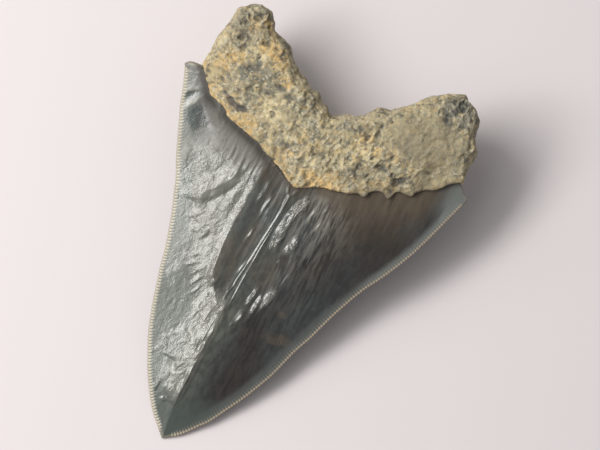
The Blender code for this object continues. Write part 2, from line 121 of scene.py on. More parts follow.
# The enamel's folds: the points of each crest from the root down, its height, and how far its flanks
# reach on the left and on the right. All in mm.
FOLDS = [
    # the keel's two crests and the fork above them
    ([(0.9, 81.0), (0.8, 75.0), (0.1, 68.0), (-0.7, 60.0), (-1.5, 54.0), (-2.4, 47.0), (-2.9, 42.0)],
     0.19, 0.52, 0.32),
    ([(1.4, 78.0), (0.8, 69.0), (0.2, 61.0), (-0.3, 52.0), (-0.6, 44.0), (-0.9, 34.0)], 0.13, 0.36, 0.34),
    ([(1.3, 82.0), (1.0, 79.0), (0.9, 75.5)], 0.30, 0.9, 0.6),
    ([(-0.9, 83.4), (-0.3, 81.5), (0.7, 79.6)], 0.25, 0.7, 0.5),
    ([(3.0, 83.2), (2.0, 81.4), (1.4, 79.0)], 0.18, 0.6, 0.7),
    ([(-1.0, 47.0), (-1.6, 36.0), (-1.9, 26.0), (-2.2, 10.0)], 0.60, 9.0, 1.6),
    ([(-1.1, 44.0), (-1.5, 36.0), (-1.8, 26.0), (-2.1, 11.0)], 0.17, 1.2, 0.5),
    ([(-1.9, 22.0), (-2.1, 15.0), (-1.9, 8.0)], 0.26, 4.2, 0.6),
    # the rim at the left of the flat
    ([(-9.6, 87.0), (-9.9, 79.0), (-10.2, 70.0), (-10.2, 62.0)], 0.18, 1.6, 2.2),
    ([(-10.3, 67.0), (-10.2, 60.0), (-9.9, 54.0), (-9.2, 49.0), (-7.4, 45.0)], 0.22, 1.9, 2.0),
    ([(-6.6, 50.0), (-7.2, 47.6), (-8.2, 45.6)], 0.25, 1.0, 0.7),
    # thin crests between the rim and the keel
    ([(-6.0, 83.0), (-5.9, 79.0), (-6.6, 76.0), (-7.0, 72.0)], 0.26, 0.9, 0.8),
    ([(-3.3, 79.6), (-3.9, 76.0), (-4.2, 73.0), (-4.3, 69.5)], 0.24, 0.75, 0.7),
    ([(-4.3, 68.0), (-4.4, 65.0), (-4.6, 61.0)], 0.18, 0.5, 0.6),
    ([(-2.6, 75.0), (-3.2, 71.0)], 0.14, 0.9, 0.8),
    ([(-1.3, 58.5), (-2.2, 55.0), (-2.9, 51.0)], 0.16, 0.7, 0.5),
    # crests to the right of the keel
    ([(7.4, 84.0), (6.9, 81.0), (5.9, 77.5), (4.7, 74.5), (4.3, 70.0), (3.9, 66.5), (3.7, 62.5)],
     0.68, 2.4, 1.2),
    ([(5.0, 80.5), (3.6, 77.6), (3.0, 75.0)], 0.22, 0.7, 0.7),
    ([(2.9, 66.5), (2.8, 62.6)], 0.16, 0.5, 0.6),
    ([(9.6, 83.0), (9.3, 78.0), (8.9, 74.0), (8.6, 71.0)], 0.14, 0.8, 0.8),
    ([(9.4, 71.5), (8.7, 67.6), (7.9, 63.0)], 0.50, 1.7, 1.0),
    ([(7.4, 62.6), (6.8, 60.0)], 0.16, 0.7, 0.7),
    ([(12.8, 85.5), (12.7, 80.0), (12.4, 75.0), (12.1, 70.5)], 0.15, 0.7, 0.7),
    ([(14.0, 84.0), (13.8, 79.0), (13.5, 76.0)], 0.12, 0.6, 0.6),
    ([(15.6, 81.0), (15.3, 76.0), (15.0, 70.5)], 0.13, 0.7, 0.8),
    ([(20.4, 83.0), (19.6, 79.0)], 0.10, 0.8, 0.8),
    ([(22.0, 76.5), (21.4, 71.5)], 0.10, 0.8, 0.8),
    ([(11.3, 60.5), (10.8, 57.0), (10.3, 53.6)], 0.17, 0.6, 0.8),
    ([(10.1, 55.0), (9.6, 51.0), (8.5, 47.6), (7.8, 45.0)], 0.62, 1.9, 1.2),
    ([(7.4, 52.0), (6.5, 47.0), (6.0, 42.0)], 0.36, 1.1, 0.9),
    ([(5.2, 53.0), (4.2, 48.0), (3.4, 44.0)], 0.34, 0.9, 0.8),
    ([(4.1, 45.0), (3.5, 41.4), (2.9, 38.6)], 0.38, 1.2, 0.9),
    ([(2.7, 39.6), (2.0, 37.6)], 0.14, 0.7, 0.6),
    # the bright zone's own ripples, left of the keel
    ([(-5.0, 46.0), (-6.2, 42.5), (-7.2, 39.0)], 0.17, 0.8, 0.5),
    ([(-3.4, 46.0), (-4.0, 42.0), (-5.2, 38.0), (-5.6, 33.0)], 0.15, 0.7, 0.45),
    ([(-7.2, 40.0), (-8.3, 37.0), (-9.3, 34.0)], 0.16, 0.9, 0.8),
    ([(-2.2, 40.0), (-2.9, 34.0), (-3.2, 27.0)], 0.13, 0.6, 0.35),
    ([(-3.6, 33.0), (-4.0, 28.0)], 0.10, 0.6, 0.35),
    ([(-1.5, 36.0), (-2.2, 28.0), (-2.6, 23.0)], 0.10, 0.5, 0.3),
    ([(-11.5, 51.5), (-13.5, 48.5), (-15.5, 45.5)], 0.15, 0.9, 0.5),
    ([(-13.0, 51.8), (-16.0, 49.4), (-19.0, 47.4)], 0.14, 0.8, 0.5),
    ([(-11.0, 48.5), (-12.6, 45.5), (-14.2, 42.6)], 0.15, 0.9, 0.5),
    ([(-10.2, 45.5), (-11.6, 42.5), (-13.2, 40.2)], 0.13, 0.8, 0.5),
    ([(-13.8, 54.0), (-17.0, 51.6), (-19.6, 50.6)], 0.12, 0.8, 0.5),
    # the left face: the long fold with its shaded right flank, and its neighbours
    ([(-15.2, 83.0), (-15.8, 79.0), (-17.6, 75.0), (-20.4, 71.4), (-23.2, 68.2), (-25.2, 66.0)],
     0.62, 4.2, 2.5),
    ([(-17.6, 74.2), (-18.8, 70.6), (-20.0, 67.0)], 0.16, 0.9, 0.8),
    ([(-13.2, 76.0), (-14.2, 70.0), (-14.8, 65.0)], 0.22, 1.6, 1.8),
    ([(-19.5, 65.5), (-21.5, 62.8), (-23.5, 61.0)], 0.15, 1.1, 0.7),
    ([(-14.5, 61.5), (-16.5, 58.6), (-18.6, 55.6)], 0.16, 1.4, 1.0),
    ([(-20.0, 51.0), (-18.6, 45.0), (-17.2, 39.0)], 0.14, 9.0, 4.0),
    # upright pleats under the root
    ([(-20.2, 88.0), (-20.0, 85.0), (-19.8, 80.0)], 0.10, 0.7, 0.35),
    ([(-18.6, 87.6), (-18.3, 84.0), (-18.0, 79.0)], 0.10, 0.7, 0.35),
    ([(-16.4, 87.4), (-16.0, 83.0), (-15.7, 77.0)], 0.13, 0.9, 0.40),
    ([(-13.5, 86.6), (-14.1, 82.0), (-14.6, 76.0)], 0.13, 0.9, 0.50),
    ([(-12.0, 85.8), (-12.3, 82.0), (-12.6, 76.0)], 0.12, 0.7, 0.40),
    ([(-10.7, 87.0), (-11.0, 83.0), (-11.0, 79.0)], 0.12, 0.8, 0.45),
    ([(-8.9, 86.5), (-9.2, 82.0), (-9.2, 76.0)], 0.14, 0.6, 0.9),
    # the left shoulder's facets
    ([(-34.5, 97.4), (-35.9, 93.6), (-37.6, 90.6), (-39.0, 87.0)], 0.13, 2.4, 3.0),
    ([(-34.4, 96.6), (-31.6, 94.6), (-29.0, 92.4), (-26.6, 90.2), (-24.8, 87.0)], 0.14, 1.9, 1.9),
    ([(-33.6, 98.4), (-37.6, 96.2), (-42.0, 93.8)], 0.12, 0.8, 1.2),
    ([(-37.6, 100.8), (-40.0, 100.0), (-42.8, 99.8)], 0.16, 0.5, 0.6),
    # the enamel's stepped border below the root
    ([(-11.5, 87.6), (-7.0, 86.0), (-3.6, 84.5), (0.8, 82.2)], 0.24, 0.35, 0.35),
    ([(2.4, 82.8), (6.4, 85.4), (10.4, 86.5), (15.5, 87.9)], 0.18, 0.35, 0.35),
]
# Hollows of the enamel: the points of the middle line, the depth, and the reach.
HOLLOWS = [
    ([(-5.4, 86.0), (-5.6, 70.0), (-5.2, 56.0), (-4.6, 48.0)], 0.42, 4.2),
    ([(6.0, 84.0), (6.5, 66.0), (4.0, 46.0)], 0.20, 4.0),
    ([(-37.6, 94.4), (-38.8, 91.8), (-40.0, 89.4)], 0.17, 1.2),
    ([(-32.2, 93.6), (-31.4, 90.0), (-30.0, 86.0)], 0.42, 3.8),
    ([(-25.5, 93.0), (-19.0, 91.1), (-13.5, 89.7), (-10.0, 87.9)], 0.50, 1.7),
]
# Thin pale lines where the enamel's edges are rubbed, their paleness partly a painted highlight along the
# crests.
RUBBED_HIGHLIGHT_WIDTH = 0.35
RUBBED_HIGHLIGHT_LINES = [
    [(-34.4, 97.2), (-37.6, 95.9), (-40.7, 94.1)], [(-34.6, 96.4), (-36.2, 93.2), (-37.9, 90.4)],
    [(-39.2, 100.6), (-42.4, 99.5)], [(-7.0, 86.6), (-4.0, 85.2), (0.2, 83.0)],
    [(2.8, 83.7), (7.0, 86.0), (10.0, 86.9), (15.0, 88.2)],
]
# Where the enamel is hammered into small wrinkles and painted paler, partly its worn tone and partly a
# painted sheen: middle, half sizes, turn in degrees, strength.
HAMMERED = [
    ((-25.0, 74.0), (9.2, 9.8), 22.0, 0.85), ((-18.5, 63.0), (6.0, 7.0), 25.0, 1.0),
    ((-13.0, 55.0), (4.0, 8.0), 10.0, 0.75), ((-4.5, 38.0), (3.6, 9.5), -8.0, 1.0),
    ((-8.0, 25.0), (4.6, 6.5), 25.0, 0.9), ((-4.4, 14.5), (3.4, 4.6), 25.0, 1.0),
    ((-14.0, 46.0), (4.0, 6.0), 20.0, 0.30), ((-12.5, 70.0), (3.5, 12.0), 0.0, 0.8),
]
# In the same terms: where the enamel at the left shoulder is dark and clear, deepened into painted shade on
# the facets that turn from the light, where it is dusty, where it is olive and painted lighter as if lit,
# and where it has brown stains.
TEAL_SHADE_FACETS = [
    ((-38.4, 93.8), (2.6, 1.1), 30.0, 1.0), ((-33.6, 88.6), (3.6, 3.8), 35.0, 1.0),
    ((-40.2, 98.0), (2.6, 1.6), 20.0, 0.3),
]
DUSTY_ARM = [
    ((-30.2, 91.6), (2.0, 6.2), 50.0, 0.8), ((-19.5, 86.0), (9.5, 4.2), -14.0, 0.75),
    ((-27.5, 84.4), (5.0, 3.0), -20.0, 0.5), ((-33.2, 79.5), (2.6, 6.0), 25.0, 0.45),
]
SHOULDER_TOP = [((-41.4, 102.6), (4.0, 1.1), 8.0, 1.0)]
BROWN_SMEARS = [
    ((16.5, 40.5), (4.6, 1.8), 12.0, 0.7), ((14.6, 47.6), (1.4, 1.0), 0.0, 0.6),
    ((23.0, 78.0), (4.0, 8.0), 0.0, 0.3), ((-8.6, 82.6), (1.5, 4.6), 0.0, 0.8),
    ((-18.5, 63.0), (2.6, 2.2), 0.0, 0.5), ((-14.0, 60.0), (1.6, 2.2), 0.0, 0.4),
]

# ---------------------------------------------------------------- serrations
SERRATIONS = 126
SAMPLES_PER_SERRATION = 6
LABIAL_ROW_SAMPLES, LINGUAL_ROW_SAMPLES = 3, 6
LABIAL_COLUMNS, LINGUAL_COLUMNS = 132, 33  # on each side of the keel
KEEL_CROWDING = 1.2
KEEL_SHARES = (0.02, 0.98)  # how near to an edge the keel's column may come
SERRATION_DEPTH = 0.40
SERRATIONS_GROW_OVER, SERRATIONS_FADE_OVER = 30.0, 10.0  # samples, from the tip and to the shoulder
BEVEL_WIDTH = 1.9
BEVEL_SHARE_MOST = 0.28
BEVEL_RINGS = (0.0, 0.16, 0.40, 0.70, 1.0)
BEAD_HEIGHT = 0.12
BEAD_FULLNESS = 0.7
SHOULDER_SAMPLES = 54
SHOULDER_TURN = 0.16  # the share of the shoulder over which the bevel narrows
SHOULDER_BEVEL = 0.6
LAST_ROW_THICKNESS = 0.12
RELIEF_FULL_AT = 5.0
FOLD_FADE = 5.0
FOLD_CREST_ROUNDING = 0.05  # a share of the reach
FOLD_WAVER_FULL_AT, FOLD_WAVER_AT_KEEL = 3.0, 0.10
PLATEAU_LEAN = 0.018
HAMMERED_EVERYWHERE, HAMMERED_FOLDS = 0.26, 0.7
WRINKLE_LEAN = (0.88, 0.47)  # about the cosine and sine of 28 degrees

# Noise on the crown, in layers: a height in mm, or a share where it varies another value, then the
# noise's size in mm, one number or one for each of x, y and z, and a seed.
FOLD_WAVER = [(0.30, (2.4, 4.5, 1.0), 21), (0.14, (0.9, 1.7, 1.0), 22)]
FOLD_SWELLING = [(0.45, (1.6, 2.6, 1.0), 23)]
HAMMERED_STRAY = [(2.6, 5.0, 26), (1.3, 1.9, 27)]
HAMMERED_UNEVEN = [(0.45, 3.2, 28)]
FOLD_STREAKS = [(0.9, (0.45, 2.4, 1.0), 45)]
PLEAT_CREASES = [(0.040, (0.9, 12.0, 1.0), 31)]
PLEAT_SWELLS = [(0.050, (2.2, 18.0, 1.0), 32)]
LABIAL_SWELLS = [(0.06, (7.0, 15.0, 1.0), 33), (0.03, (2.2, 5.0, 1.0), 34)]
WRINKLE_STRAY = [(0.6, 2.4, 29)]
WRINKLE_CREASES = [(0.050, (1.2, 2.0, 1.0), 35), (0.050, (0.7, 1.1, 1.0), 36)]
WRINKLE_SWELLS = [(0.055, (2.6, 4.4, 1.0), 37)]
HAIRLINES, SCRATCHES = [(0.030, (0.7, 9.0, 1.0), 38)], [(0.016, (0.9, 2.2, 1.0), 39)]
LINGUAL_SWELLS = [(0.12, (8.0, 20.0, 1.0), 41), (0.05, (1.6, 22.0, 1.0), 42)]
LINGUAL_CLOUDS = [(0.6, (9.0, 20.0, 1.0), 43)]
BAND_RAGGED = [(0.5, 2.2, 44)]
BAND_STEP = 0.35
BAND_WIDTH_LEAST, BAND_WIDTH_MORE = 1.5, 8.5

# ---------------------------------------------------------------- the root's thickness, in mm
SHOULDER_AT = 0.22
MIDDLE_AT = 0.5
BAR_AT = [0.0, 0.10, 0.22, 0.34, 0.43, 0.50, 0.57, 0.66, 0.78, 0.90, 1.0]
ROOT_HEIGHT = [3.4, 5.0, 6.2, 7.0, 7.3, 7.4, 7.3, 7.1, 6.4, 5.2, 3.6]
ROOT_DEPTH = [5.0, 8.5, 12.0, 16.0, 18.9, 19.3, 18.9, 16.0, 12.0, 8.5, 5.0]
LOBE_CLOSURE = 0.10
NOTCH_SPACING_POWER = 1.4
SIDE_ROUNDING = 0.24
NOTCH_ROUNDING = 0.24
SWELL_REACH = 0.45
SEAM_LEDGE = 0.9
SEAM_LEDGE_LINGUAL = 1.2
SEAM_DROP_LINGUAL = 9.0
SEAM_BLEND = 0.04
BURIED_SHARE = 0.4
ROOT_STATIONS = 430
STATION_CROWDING = 0.35
ROOT_POINTS_ACROSS = 80
ACROSS_CROWDING = 1.2
ROOT_LOOP_POINTS = 226
LABIAL_CROWDING = 1.9

# Labial places of the stone, in mm. Where it is fine and even, where it is ochre, pale, dark and knobby:
# middle, half sizes, turn in degrees, strength. Then the grooves: their line, depth and reach. Then the
# lumps: middle, height and reach.
SMOOTH_STONE = [
    ((31.0, 112.0), (13.0, 8.0), 15.0, 0.9), ((36.0, 101.5), (5.5, 3.2), 40.0, 0.9),
    ((-11.0, 100.5), (3.4, 2.6), 0.0, 0.8),
]
OCHRE_STONE = [
    ((-20.5, 115.0), (5.5, 3.6), -25.0, 1.0), ((-31.5, 119.5), (4.0, 2.6), 30.0, 0.6),
    ((-31.5, 109.8), (4.6, 2.8), 20.0, 0.9), ((-14.6, 109.4), (2.6, 2.2), 0.0, 0.9),
    ((-34.0, 105.8), (2.2, 1.6), 0.0, 0.8), ((-23.0, 93.8), (6.5, 1.5), -12.0, 0.6),
    ((-3.0, 96.5), (2.4, 1.6), 0.0, 0.5), ((5.5, 87.6), (6.4, 2.8), 8.0, 1.0),
    ((-7.5, 89.0), (3.0, 1.6), -20.0, 0.7), ((17.5, 102.0), (2.2, 2.0), 0.0, 0.8),
    ((10.5, 92.0), (2.8, 1.6), 20.0, 0.6), ((12.0, 103.5), (3.0, 2.0), 30.0, 0.6),
    ((-27.0, 119.5), (4.0, 2.4), -35.0, 0.6), ((22.0, 93.6), (2.8, 1.2), 20.0, 0.6),
]
# The pale patches at (8.5, 88.8) and (-11.5, 111.6) are painted light as well as pale stone: they lighten
# stone that faces away from the lamp.
PALE_STONE = [
    ((-27.0, 112.0), (3.8, 2.6), 20.0, 0.9), ((-13.0, 100.5), (6.0, 4.0), 0.0, 1.0),
    ((-7.0, 96.5), (4.0, 3.0), 0.0, 0.7), ((1.5, 104.0), (4.0, 2.6), 0.0, 0.8),
    ((13.0, 99.5), (5.0, 4.0), 10.0, 1.0), ((8.5, 88.8), (4.4, 2.2), 12.0, 1.0),
    ((5.0, 93.0), (4.0, 2.4), 0.0, 0.5), ((-37.0, 112.0), (1.8, 5.0), 0.0, 0.5),
    ((29.0, 126.0), (2.4, 3.2), -20.0, 0.6), ((20.0, 110.5), (4.0, 2.8), 10.0, 0.7),
    ((-11.5, 111.6), (4.8, 2.4), -25.0, 1.0), ((39.0, 104.0), (3.4, 1.2), 40.0, 0.9),
]
DARK_STONE = [
    ((-24.0, 107.5), (4.2, 2.6), 0.0, 0.9), ((-20.5, 100.0), (3.6, 2.6), 0.0, 0.7),
    ((-8.5, 92.5), (3.0, 2.0), -20.0, 0.6), ((-8.0, 104.5), (3.4, 2.6), 20.0, 0.8),
    ((-34.5, 121.0), (2.8, 3.4), 20.0, 0.6), ((-16.5, 105.0), (2.4, 2.0), 0.0, 0.5),
    ((23.0, 106.0), (2.6, 2.6), 0.0, 0.7), ((28.0, 107.5), (2.6, 1.6), 0.0, 0.5),
    ((16.0, 94.5), (3.6, 2.0), 15.0, 0.7), ((35.0, 125.5), (3.6, 3.0), 0.0, 0.8),
    ((41.5, 113.5), (2.0, 3.0), 0.0, 0.6), ((27.0, 97.6), (3.4, 1.4), 15.0, 0.8),
    ((7.5, 106.0), (2.6, 1.8), 20.0, 0.5), ((-2.0, 101.0), (2.2, 1.6), 0.0, 0.5),
]
KNOBBY_STONE = [
    ((35.0, 123.5), (6.0, 5.5), 0.0, 1.0), ((-34.0, 118.0), (3.5, 6.0), 10.0, 0.6),
    ((-31.0, 124.0), (4.5, 2.5), 0.0, 0.6),
]
ROOT_GROOVES = [
    ([(-30.5, 99.3), (-27.0, 97.6), (-24.5, 96.8), (-20.0, 95.6)], 0.55, 0.45),
    ([(-29.5, 97.9), (-26.0, 96.3), (-22.5, 94.9)], 0.40, 0.35),
    ([(-34.6, 122.5), (-33.4, 119.5), (-31.6, 117.0), (-29.8, 114.6)], 0.60, 0.8),
    ([(-20.5, 109.5), (-17.0, 106.0), (-15.0, 102.0)], 0.35, 1.2),
    ([(23.5, 99.5), (28.0, 98.6), (31.0, 96.8)], 0.45, 0.8),
    ([(12.0, 107.0), (16.0, 103.0), (19.0, 102.0)], 0.30, 1.2),
]
LAMINAR_GROOVES = ROOT_GROOVES[:2]  # the two with dark laid edges
ROOT_LUMPS = [
    ((-10.5, 101.0), 0.7, 4.5), ((-24.0, 112.0), 0.7, 5.0), ((36.5, 123.0), 0.9, 4.0),
    ((-12.0, 109.0), 0.4, 3.0), ((8.0, 98.0), 0.4, 5.0), ((-33.0, 108.0), 0.5, 4.5),
]
WORN_FROM, WORN_OVER = 12.0, 5.0
WORN_LUMPS_LOSE, WORN_GRIT_LOSES, EVEN_GRIT_LOSES = 0.65, 0.5, 0.6

# Noise on the stone, in the same layers. The pits are the depth, the spacing, a seed, and the share of
# the places that have none.
STONE_DRIFT = [(3.0, 5.0, 18), (1.4, 1.7, 19)]
STONE_STRAY, STONE_STRAY_SIZE, STONE_STRAY_SEEDS = 0.9, 1.6, (8, 9, 10)
STONE_SWELLS, STONE_LUMPS = [(0.60, 9.0, 11)], [(0.50, 4.0, 12)]
STONE_KNOBS = [(1.0, 2.3, 13)]
STONE_GRIT = [(0.30, 1.0, 14), (0.18, 0.6, 15)]
STONE_PITS = [(0.55, 3.4, 16, 0.72), (0.34, 1.8, 17, 0.55)]

# ---------------------------------------------------------------- how it lies
LIE_DEG = 11.0
TABLE_UNDER_ORIGIN = 0.758  # the table's depth under the frame's origin, once turned


# ---------------------------------------------------------------- curves and fields
def curve_through(points, samples=16):
    """A Catmull-Rom curve: each span is the cubic with the neighbouring knots' chords as end tangents."""
    knots = np.array(points, float)
    knots = np.vstack([2 * knots[0] - knots[1], knots, 2 * knots[-1] - knots[-2]])
    before, start, end, after = (knots[i : len(knots) - 3 + i, None] for i in range(4))
    u = np.linspace(0, 1, samples, endpoint=False)[:, None]
    spans = 0.5 * (
        2 * start
        + (end - before) * u
        + (2 * before - 5 * start + 4 * end - after) * u**2
        + (3 * start - before - 3 * end + after) * u**3
    )
    return np.vstack([spans.reshape(-1, knots.shape[1]), knots[-2]])


def along(points, shares):
    """Points at these shares of the length of the curve through the given points."""
    curve = curve_through(points)
    steps = np.linalg.norm(np.diff(curve, axis=0), axis=1)
    length = np.concatenate([[0], np.cumsum(steps)])
    at = np.asarray(shares, float) * length[-1]
    return np.stack([np.interp(at, length, curve[:, k]) for k in range(2)], axis=-1)


def profile(at, marks, values):
    """A smooth curve's value at each place, through the values at the marks."""
    curve = curve_through(np.column_stack([marks, values]))
    return np.interp(at, curve[:, 0], curve[:, 1])


def rounded(distance):
    """A quarter circle: sqrt(1 - (1 - d)^2), from 0 at the rim to 1 at the radius and past it."""
    return np.sqrt(1 - (1 - np.clip(distance, 0, 1)) ** 2)


def eased(share):
    """3s^2 - 2s^3, with s held between 0 and 1."""
    share = np.clip(share, 0, 1)
    return share * share * (3 - 2 * share)


def beside_line(points, line):
    """Each point's distance from a polyline, positive on the left of a line that runs down, and its
    place along the line's length from 0 to 1."""
    start, end = np.array(line[:-1], float), np.array(line[1:], float)
    run = end - start
    reach = np.linalg.norm(run, axis=1)
    offset = points[..., None, :2] - start
    share = np.clip((offset * run).sum(-1) / reach**2, 0, 1)
    gap = offset - share[..., None] * run
    distance = np.linalg.norm(gap, axis=-1)
    nearest = distance.argmin(-1)[..., None]
    side = run[:, 1] * offset[..., 0] - run[:, 0] * offset[..., 1]
    walked = np.concatenate([[0], np.cumsum(reach)[:-1]]) + share * reach
    pick = (np.take_along_axis(a, nearest, -1)[..., 0] for a in (distance, side, walked))
    distance, side, walked = pick
    return distance * np.sign(side), walked / reach.sum()


def lattice_noise(points, cell, seed):
    """Smooth noise from -1 to 1: a value for each corner of a cubic lattice, eased between corners.
    cell is the lattice's size, one number or one for each axis."""
    order = np.random.default_rng(seed).permutation(256)
    place = points / np.asarray(cell, float)
    corner = np.floor(place).astype(int)
    ease = eased(place - corner)
    total = np.zeros(points.shape[:-1])
    for step in np.ndindex(2, 2, 2):
        x, y, z = np.moveaxis(corner + step, -1, 0)
        value = order[(order[(order[x % 256] + y) % 256] + z) % 256] / 127.5 - 1
        total += np.where(step, ease, 1 - ease).prod(-1) * value
    return total


def layered(points, layers):
    """The sum of height * noise over the layers."""
    return sum(height * lattice_noise(points, cell, seed) for height, cell, seed in layers)


def creased(points, layers):
    """The sum of height * (1 - 2 * |noise|) over the layers: sharp crests where the noise is 0."""
    return sum(height * (1 - 2 * np.abs(lattice_noise(points, cell, seed))) for height, cell, seed in layers)


def cell_noise(points, cell, seed):
    """The distance to the nearest of the points that are scattered one to each lattice cell, as a share
    of the cell's size, and a value from 0 to 1 that belongs to that point."""
    dice = np.random.default_rng(seed)
    order = dice.permutation(256)
    scatter = dice.random((256, 4))
    place = points / cell
    corner = np.floor(place).astype(int)
    best = np.full(points.shape[:-1], 9.0)
    owner = np.zeros(points.shape[:-1])
    for step in np.ndindex(3, 3, 3):
        near = corner + np.array(step) - 1
        x, y, z = np.moveaxis(near, -1, 0)
        pick = scatter[order[(order[(order[x % 256] + y) % 256] + z) % 256]]
        distance = np.linalg.norm(near + pick[..., :3] - place, axis=-1)
        closer = distance < best
        best = np.where(closer, distance, best)
        owner = np.where(closer, pick[..., 3], owner)
    return best, owner


def in_patches(points, patches):
    """1 in the middle of any of the soft ellipses, easing to 0 at its rim, times its strength."""
    found = np.zeros(points.shape[:-1])
    for middle, size, turn, strength in patches:
        x, y = points[..., 0] - middle[0], points[..., 1] - middle[1]
        c, s = math.cos(math.radians(turn)), math.sin(math.radians(turn))
        radius = np.hypot((x * c + y * s) / size[0], (y * c - x * s) / size[1])
        found = np.maximum(found, strength * eased((1.25 - radius) / 0.6))
    return found


# ---------------------------------------------------------------- the crown
EDGE_LEFT, EDGE_RIGHT = curve_through(LEFT_EDGE), curve_through(RIGHT_EDGE)
SEAM_LINE = np.array(LEFT_SEAM + RIGHT_SEAM[1:])


def edge_distance(points):
    """Each point's distance in plan from the nearer cutting edge."""
    lines = (along(LEFT_EDGE, np.linspace(0, 1, 40)), along(RIGHT_EDGE, np.linspace(0, 1, 40)))
    return np.minimum(*(np.abs(beside_line(points, line)[0]) for line in lines))


def across_blade(points):
    """How far across the blade each point lies from the keel, as a share of the way to the cutting edge,
    counted from where the flat beside the keel ends, and the plain share."""
    x, y = points[..., 0], points[..., 1]
    keel = profile(y, KEEL_Y, KEEL_X)
    on_left = x < keel
    left_reach = keel - np.interp(y, EDGE_LEFT[:, 1], EDGE_LEFT[:, 0])
    right_reach = np.interp(y, EDGE_RIGHT[:, 1], EDGE_RIGHT[:, 0]) - keel
    reach = np.maximum(np.where(on_left, left_reach, right_reach), TINY)
    flat = np.where(on_left, profile(y, FLAT_Y, FLAT_LEFT), profile(y, FLAT_Y, FLAT_RIGHT))
    flat = np.minimum(flat, 0.5 * reach)
    away = np.abs(x - keel)
    from_flat = np.clip((away - flat) / (reach - flat), 0, 1)
    return from_flat, np.clip(away / reach, 0, 1)


def beside_keel(points):
    """How far to the right of the keel each point lies."""
    return points[..., 0] - profile(points[..., 1], KEEL_Y, KEEL_X)


def hollow_depth(points):
    """The hollows, each depth * exp(-(d / reach)^2)."""
    return sum(
        depth * np.exp(-((beside_line(points, line)[0] / reach) ** 2)) for line, depth, reach in HOLLOWS
    )


def fold_height(points):
    """Ridges with straight flanks, h * (1 - d / reach), rounded at the crest, wavering a little, uneven in
    height and fading out at both ends."""
    flat = flattened(points)
    relief = np.zeros(points.shape[:-1])
    away = eased(np.abs(beside_keel(flat)) / FOLD_WAVER_FULL_AT)
    waver = layered(flat, FOLD_WAVER) * (FOLD_WAVER_AT_KEEL + (1 - FOLD_WAVER_AT_KEEL) * away)
    wavered = flat + waver[..., None] * np.array([1.0, 0.0, 0.0])
    swelling = 1 + layered(flat, FOLD_SWELLING)
    for line, height, left, right in FOLDS:
        aside, share = beside_line(wavered, line)
        near = np.where(aside > 0, aside / left, -aside / right)
        length = np.linalg.norm(np.diff(line, axis=0), axis=1).sum()
        ends = eased(np.minimum(share, 1 - share) / min(FOLD_FADE / length, 0.5))
        flanks = 1 + FOLD_CREST_ROUNDING - np.hypot(near, FOLD_CREST_ROUNDING)
        relief += height * np.clip(flanks, 0, None) * ends * swelling
    return relief


def labial_height(points):
    """The labial face: h(y) * (1 - s^p), where s runs from the flat beside the keel to the edge. The flat
    leans a little to the right."""
    from_flat = across_blade(points)[0]
    height = profile(points[..., 1], STATION_Y, LABIAL_HEIGHT)
    blunt = np.hypot(from_flat, KEEL_BLUNTNESS) - KEEL_BLUNTNESS * (1 - from_flat)
    lean = PLATEAU_LEAN * beside_keel(points) * (1 - from_flat)
    power = profile(points[..., 1], STATION_Y, LABIAL_POWER)
    return height * (1 - blunt**power) - lean * eased((points[..., 1] - 38) / 10)


def lingual_depth(points):
    """The lingual face: d(y) * (1 - s^p), where s runs from the keel to the edge."""
    share = across_blade(points)[1]
    return profile(points[..., 1], STATION_Y, LINGUAL_DEPTH) * (1 - share**LINGUAL_POWER)


def flattened(points):
    """The points with z = 0, for noise that runs over a face seen in plan."""
    return np.concatenate([points[..., :2], np.zeros(points.shape[:-1] + (1,))], axis=-1)


def hammered_share(points, folds):
    """How hammered the labial face is, from 0 to 1: the patches with their borders strayed by noise, the
    high folds beside the keel in streaks, and a little over the rest of the left face."""
    flat, x = flattened(points), points[..., 0]
    strayed = flat + layered(flat, HAMMERED_STRAY)[..., None]
    patchy = in_patches(strayed, HAMMERED) * (0.8 + layered(flat, HAMMERED_UNEVEN))
    everywhere = HAMMERED_EVERYWHERE * eased((-3.0 - x) / 4.0)
    on_folds = HAMMERED_FOLDS * eased((folds - 0.02) / 0.30) * eased(0.5 + layered(strayed, FOLD_STREAKS))
    on_folds *= eased((np.abs(beside_keel(points)) - 1.6) / 0.8) * eased((x + 8.8) / 1.0)
    return np.clip(np.maximum.reduce([patchy, everywhere, on_folds]), 0, 1)


def labial_relief(points):
    """What stands on the smooth labial face: the folds, pleats under the root, slow swells, and wrinkles
    where it is hammered. It all fades out towards the cutting edges."""
    flat, x, y = flattened(points), points[..., 0], points[..., 1]
    below_root = np.abs(beside_line(points, SEAM_LINE)[0])
    pleats = creased(flat, PLEAT_CREASES) + layered(flat, PLEAT_SWELLS)
    pleats *= np.exp(-below_root / 18.0) * eased((y - 50.0) / 20.0) * eased((x + 27.0) / 6.0)
    c, s = WRINKLE_LEAN
    leaning = flat @ np.array([[c, s, 0.0], [-s, c, 0.0], [0.0, 0.0, 1.0]])
    leaning += layered(flat, WRINKLE_STRAY)[..., None]
    wrinkles = creased(leaning, WRINKLE_CREASES) + layered(leaning, WRINKLE_SWELLS)
    hairlines = layered(flat, HAIRLINES) * eased((x + 12.0) / 4.0) * eased((y - 40.0) / 10.0)
    hairlines += layered(flat, SCRATCHES)
    folds = fold_height(points)
    relief = folds - hollow_depth(points) + pleats + layered(flat, LABIAL_SWELLS) + hairlines
    relief += hammered_share(points, folds) * wrinkles
    full_at = RELIEF_FULL_AT - 3.2 * eased((y - 74.0) / 14.0)
    return relief * eased(edge_distance(points) / full_at)


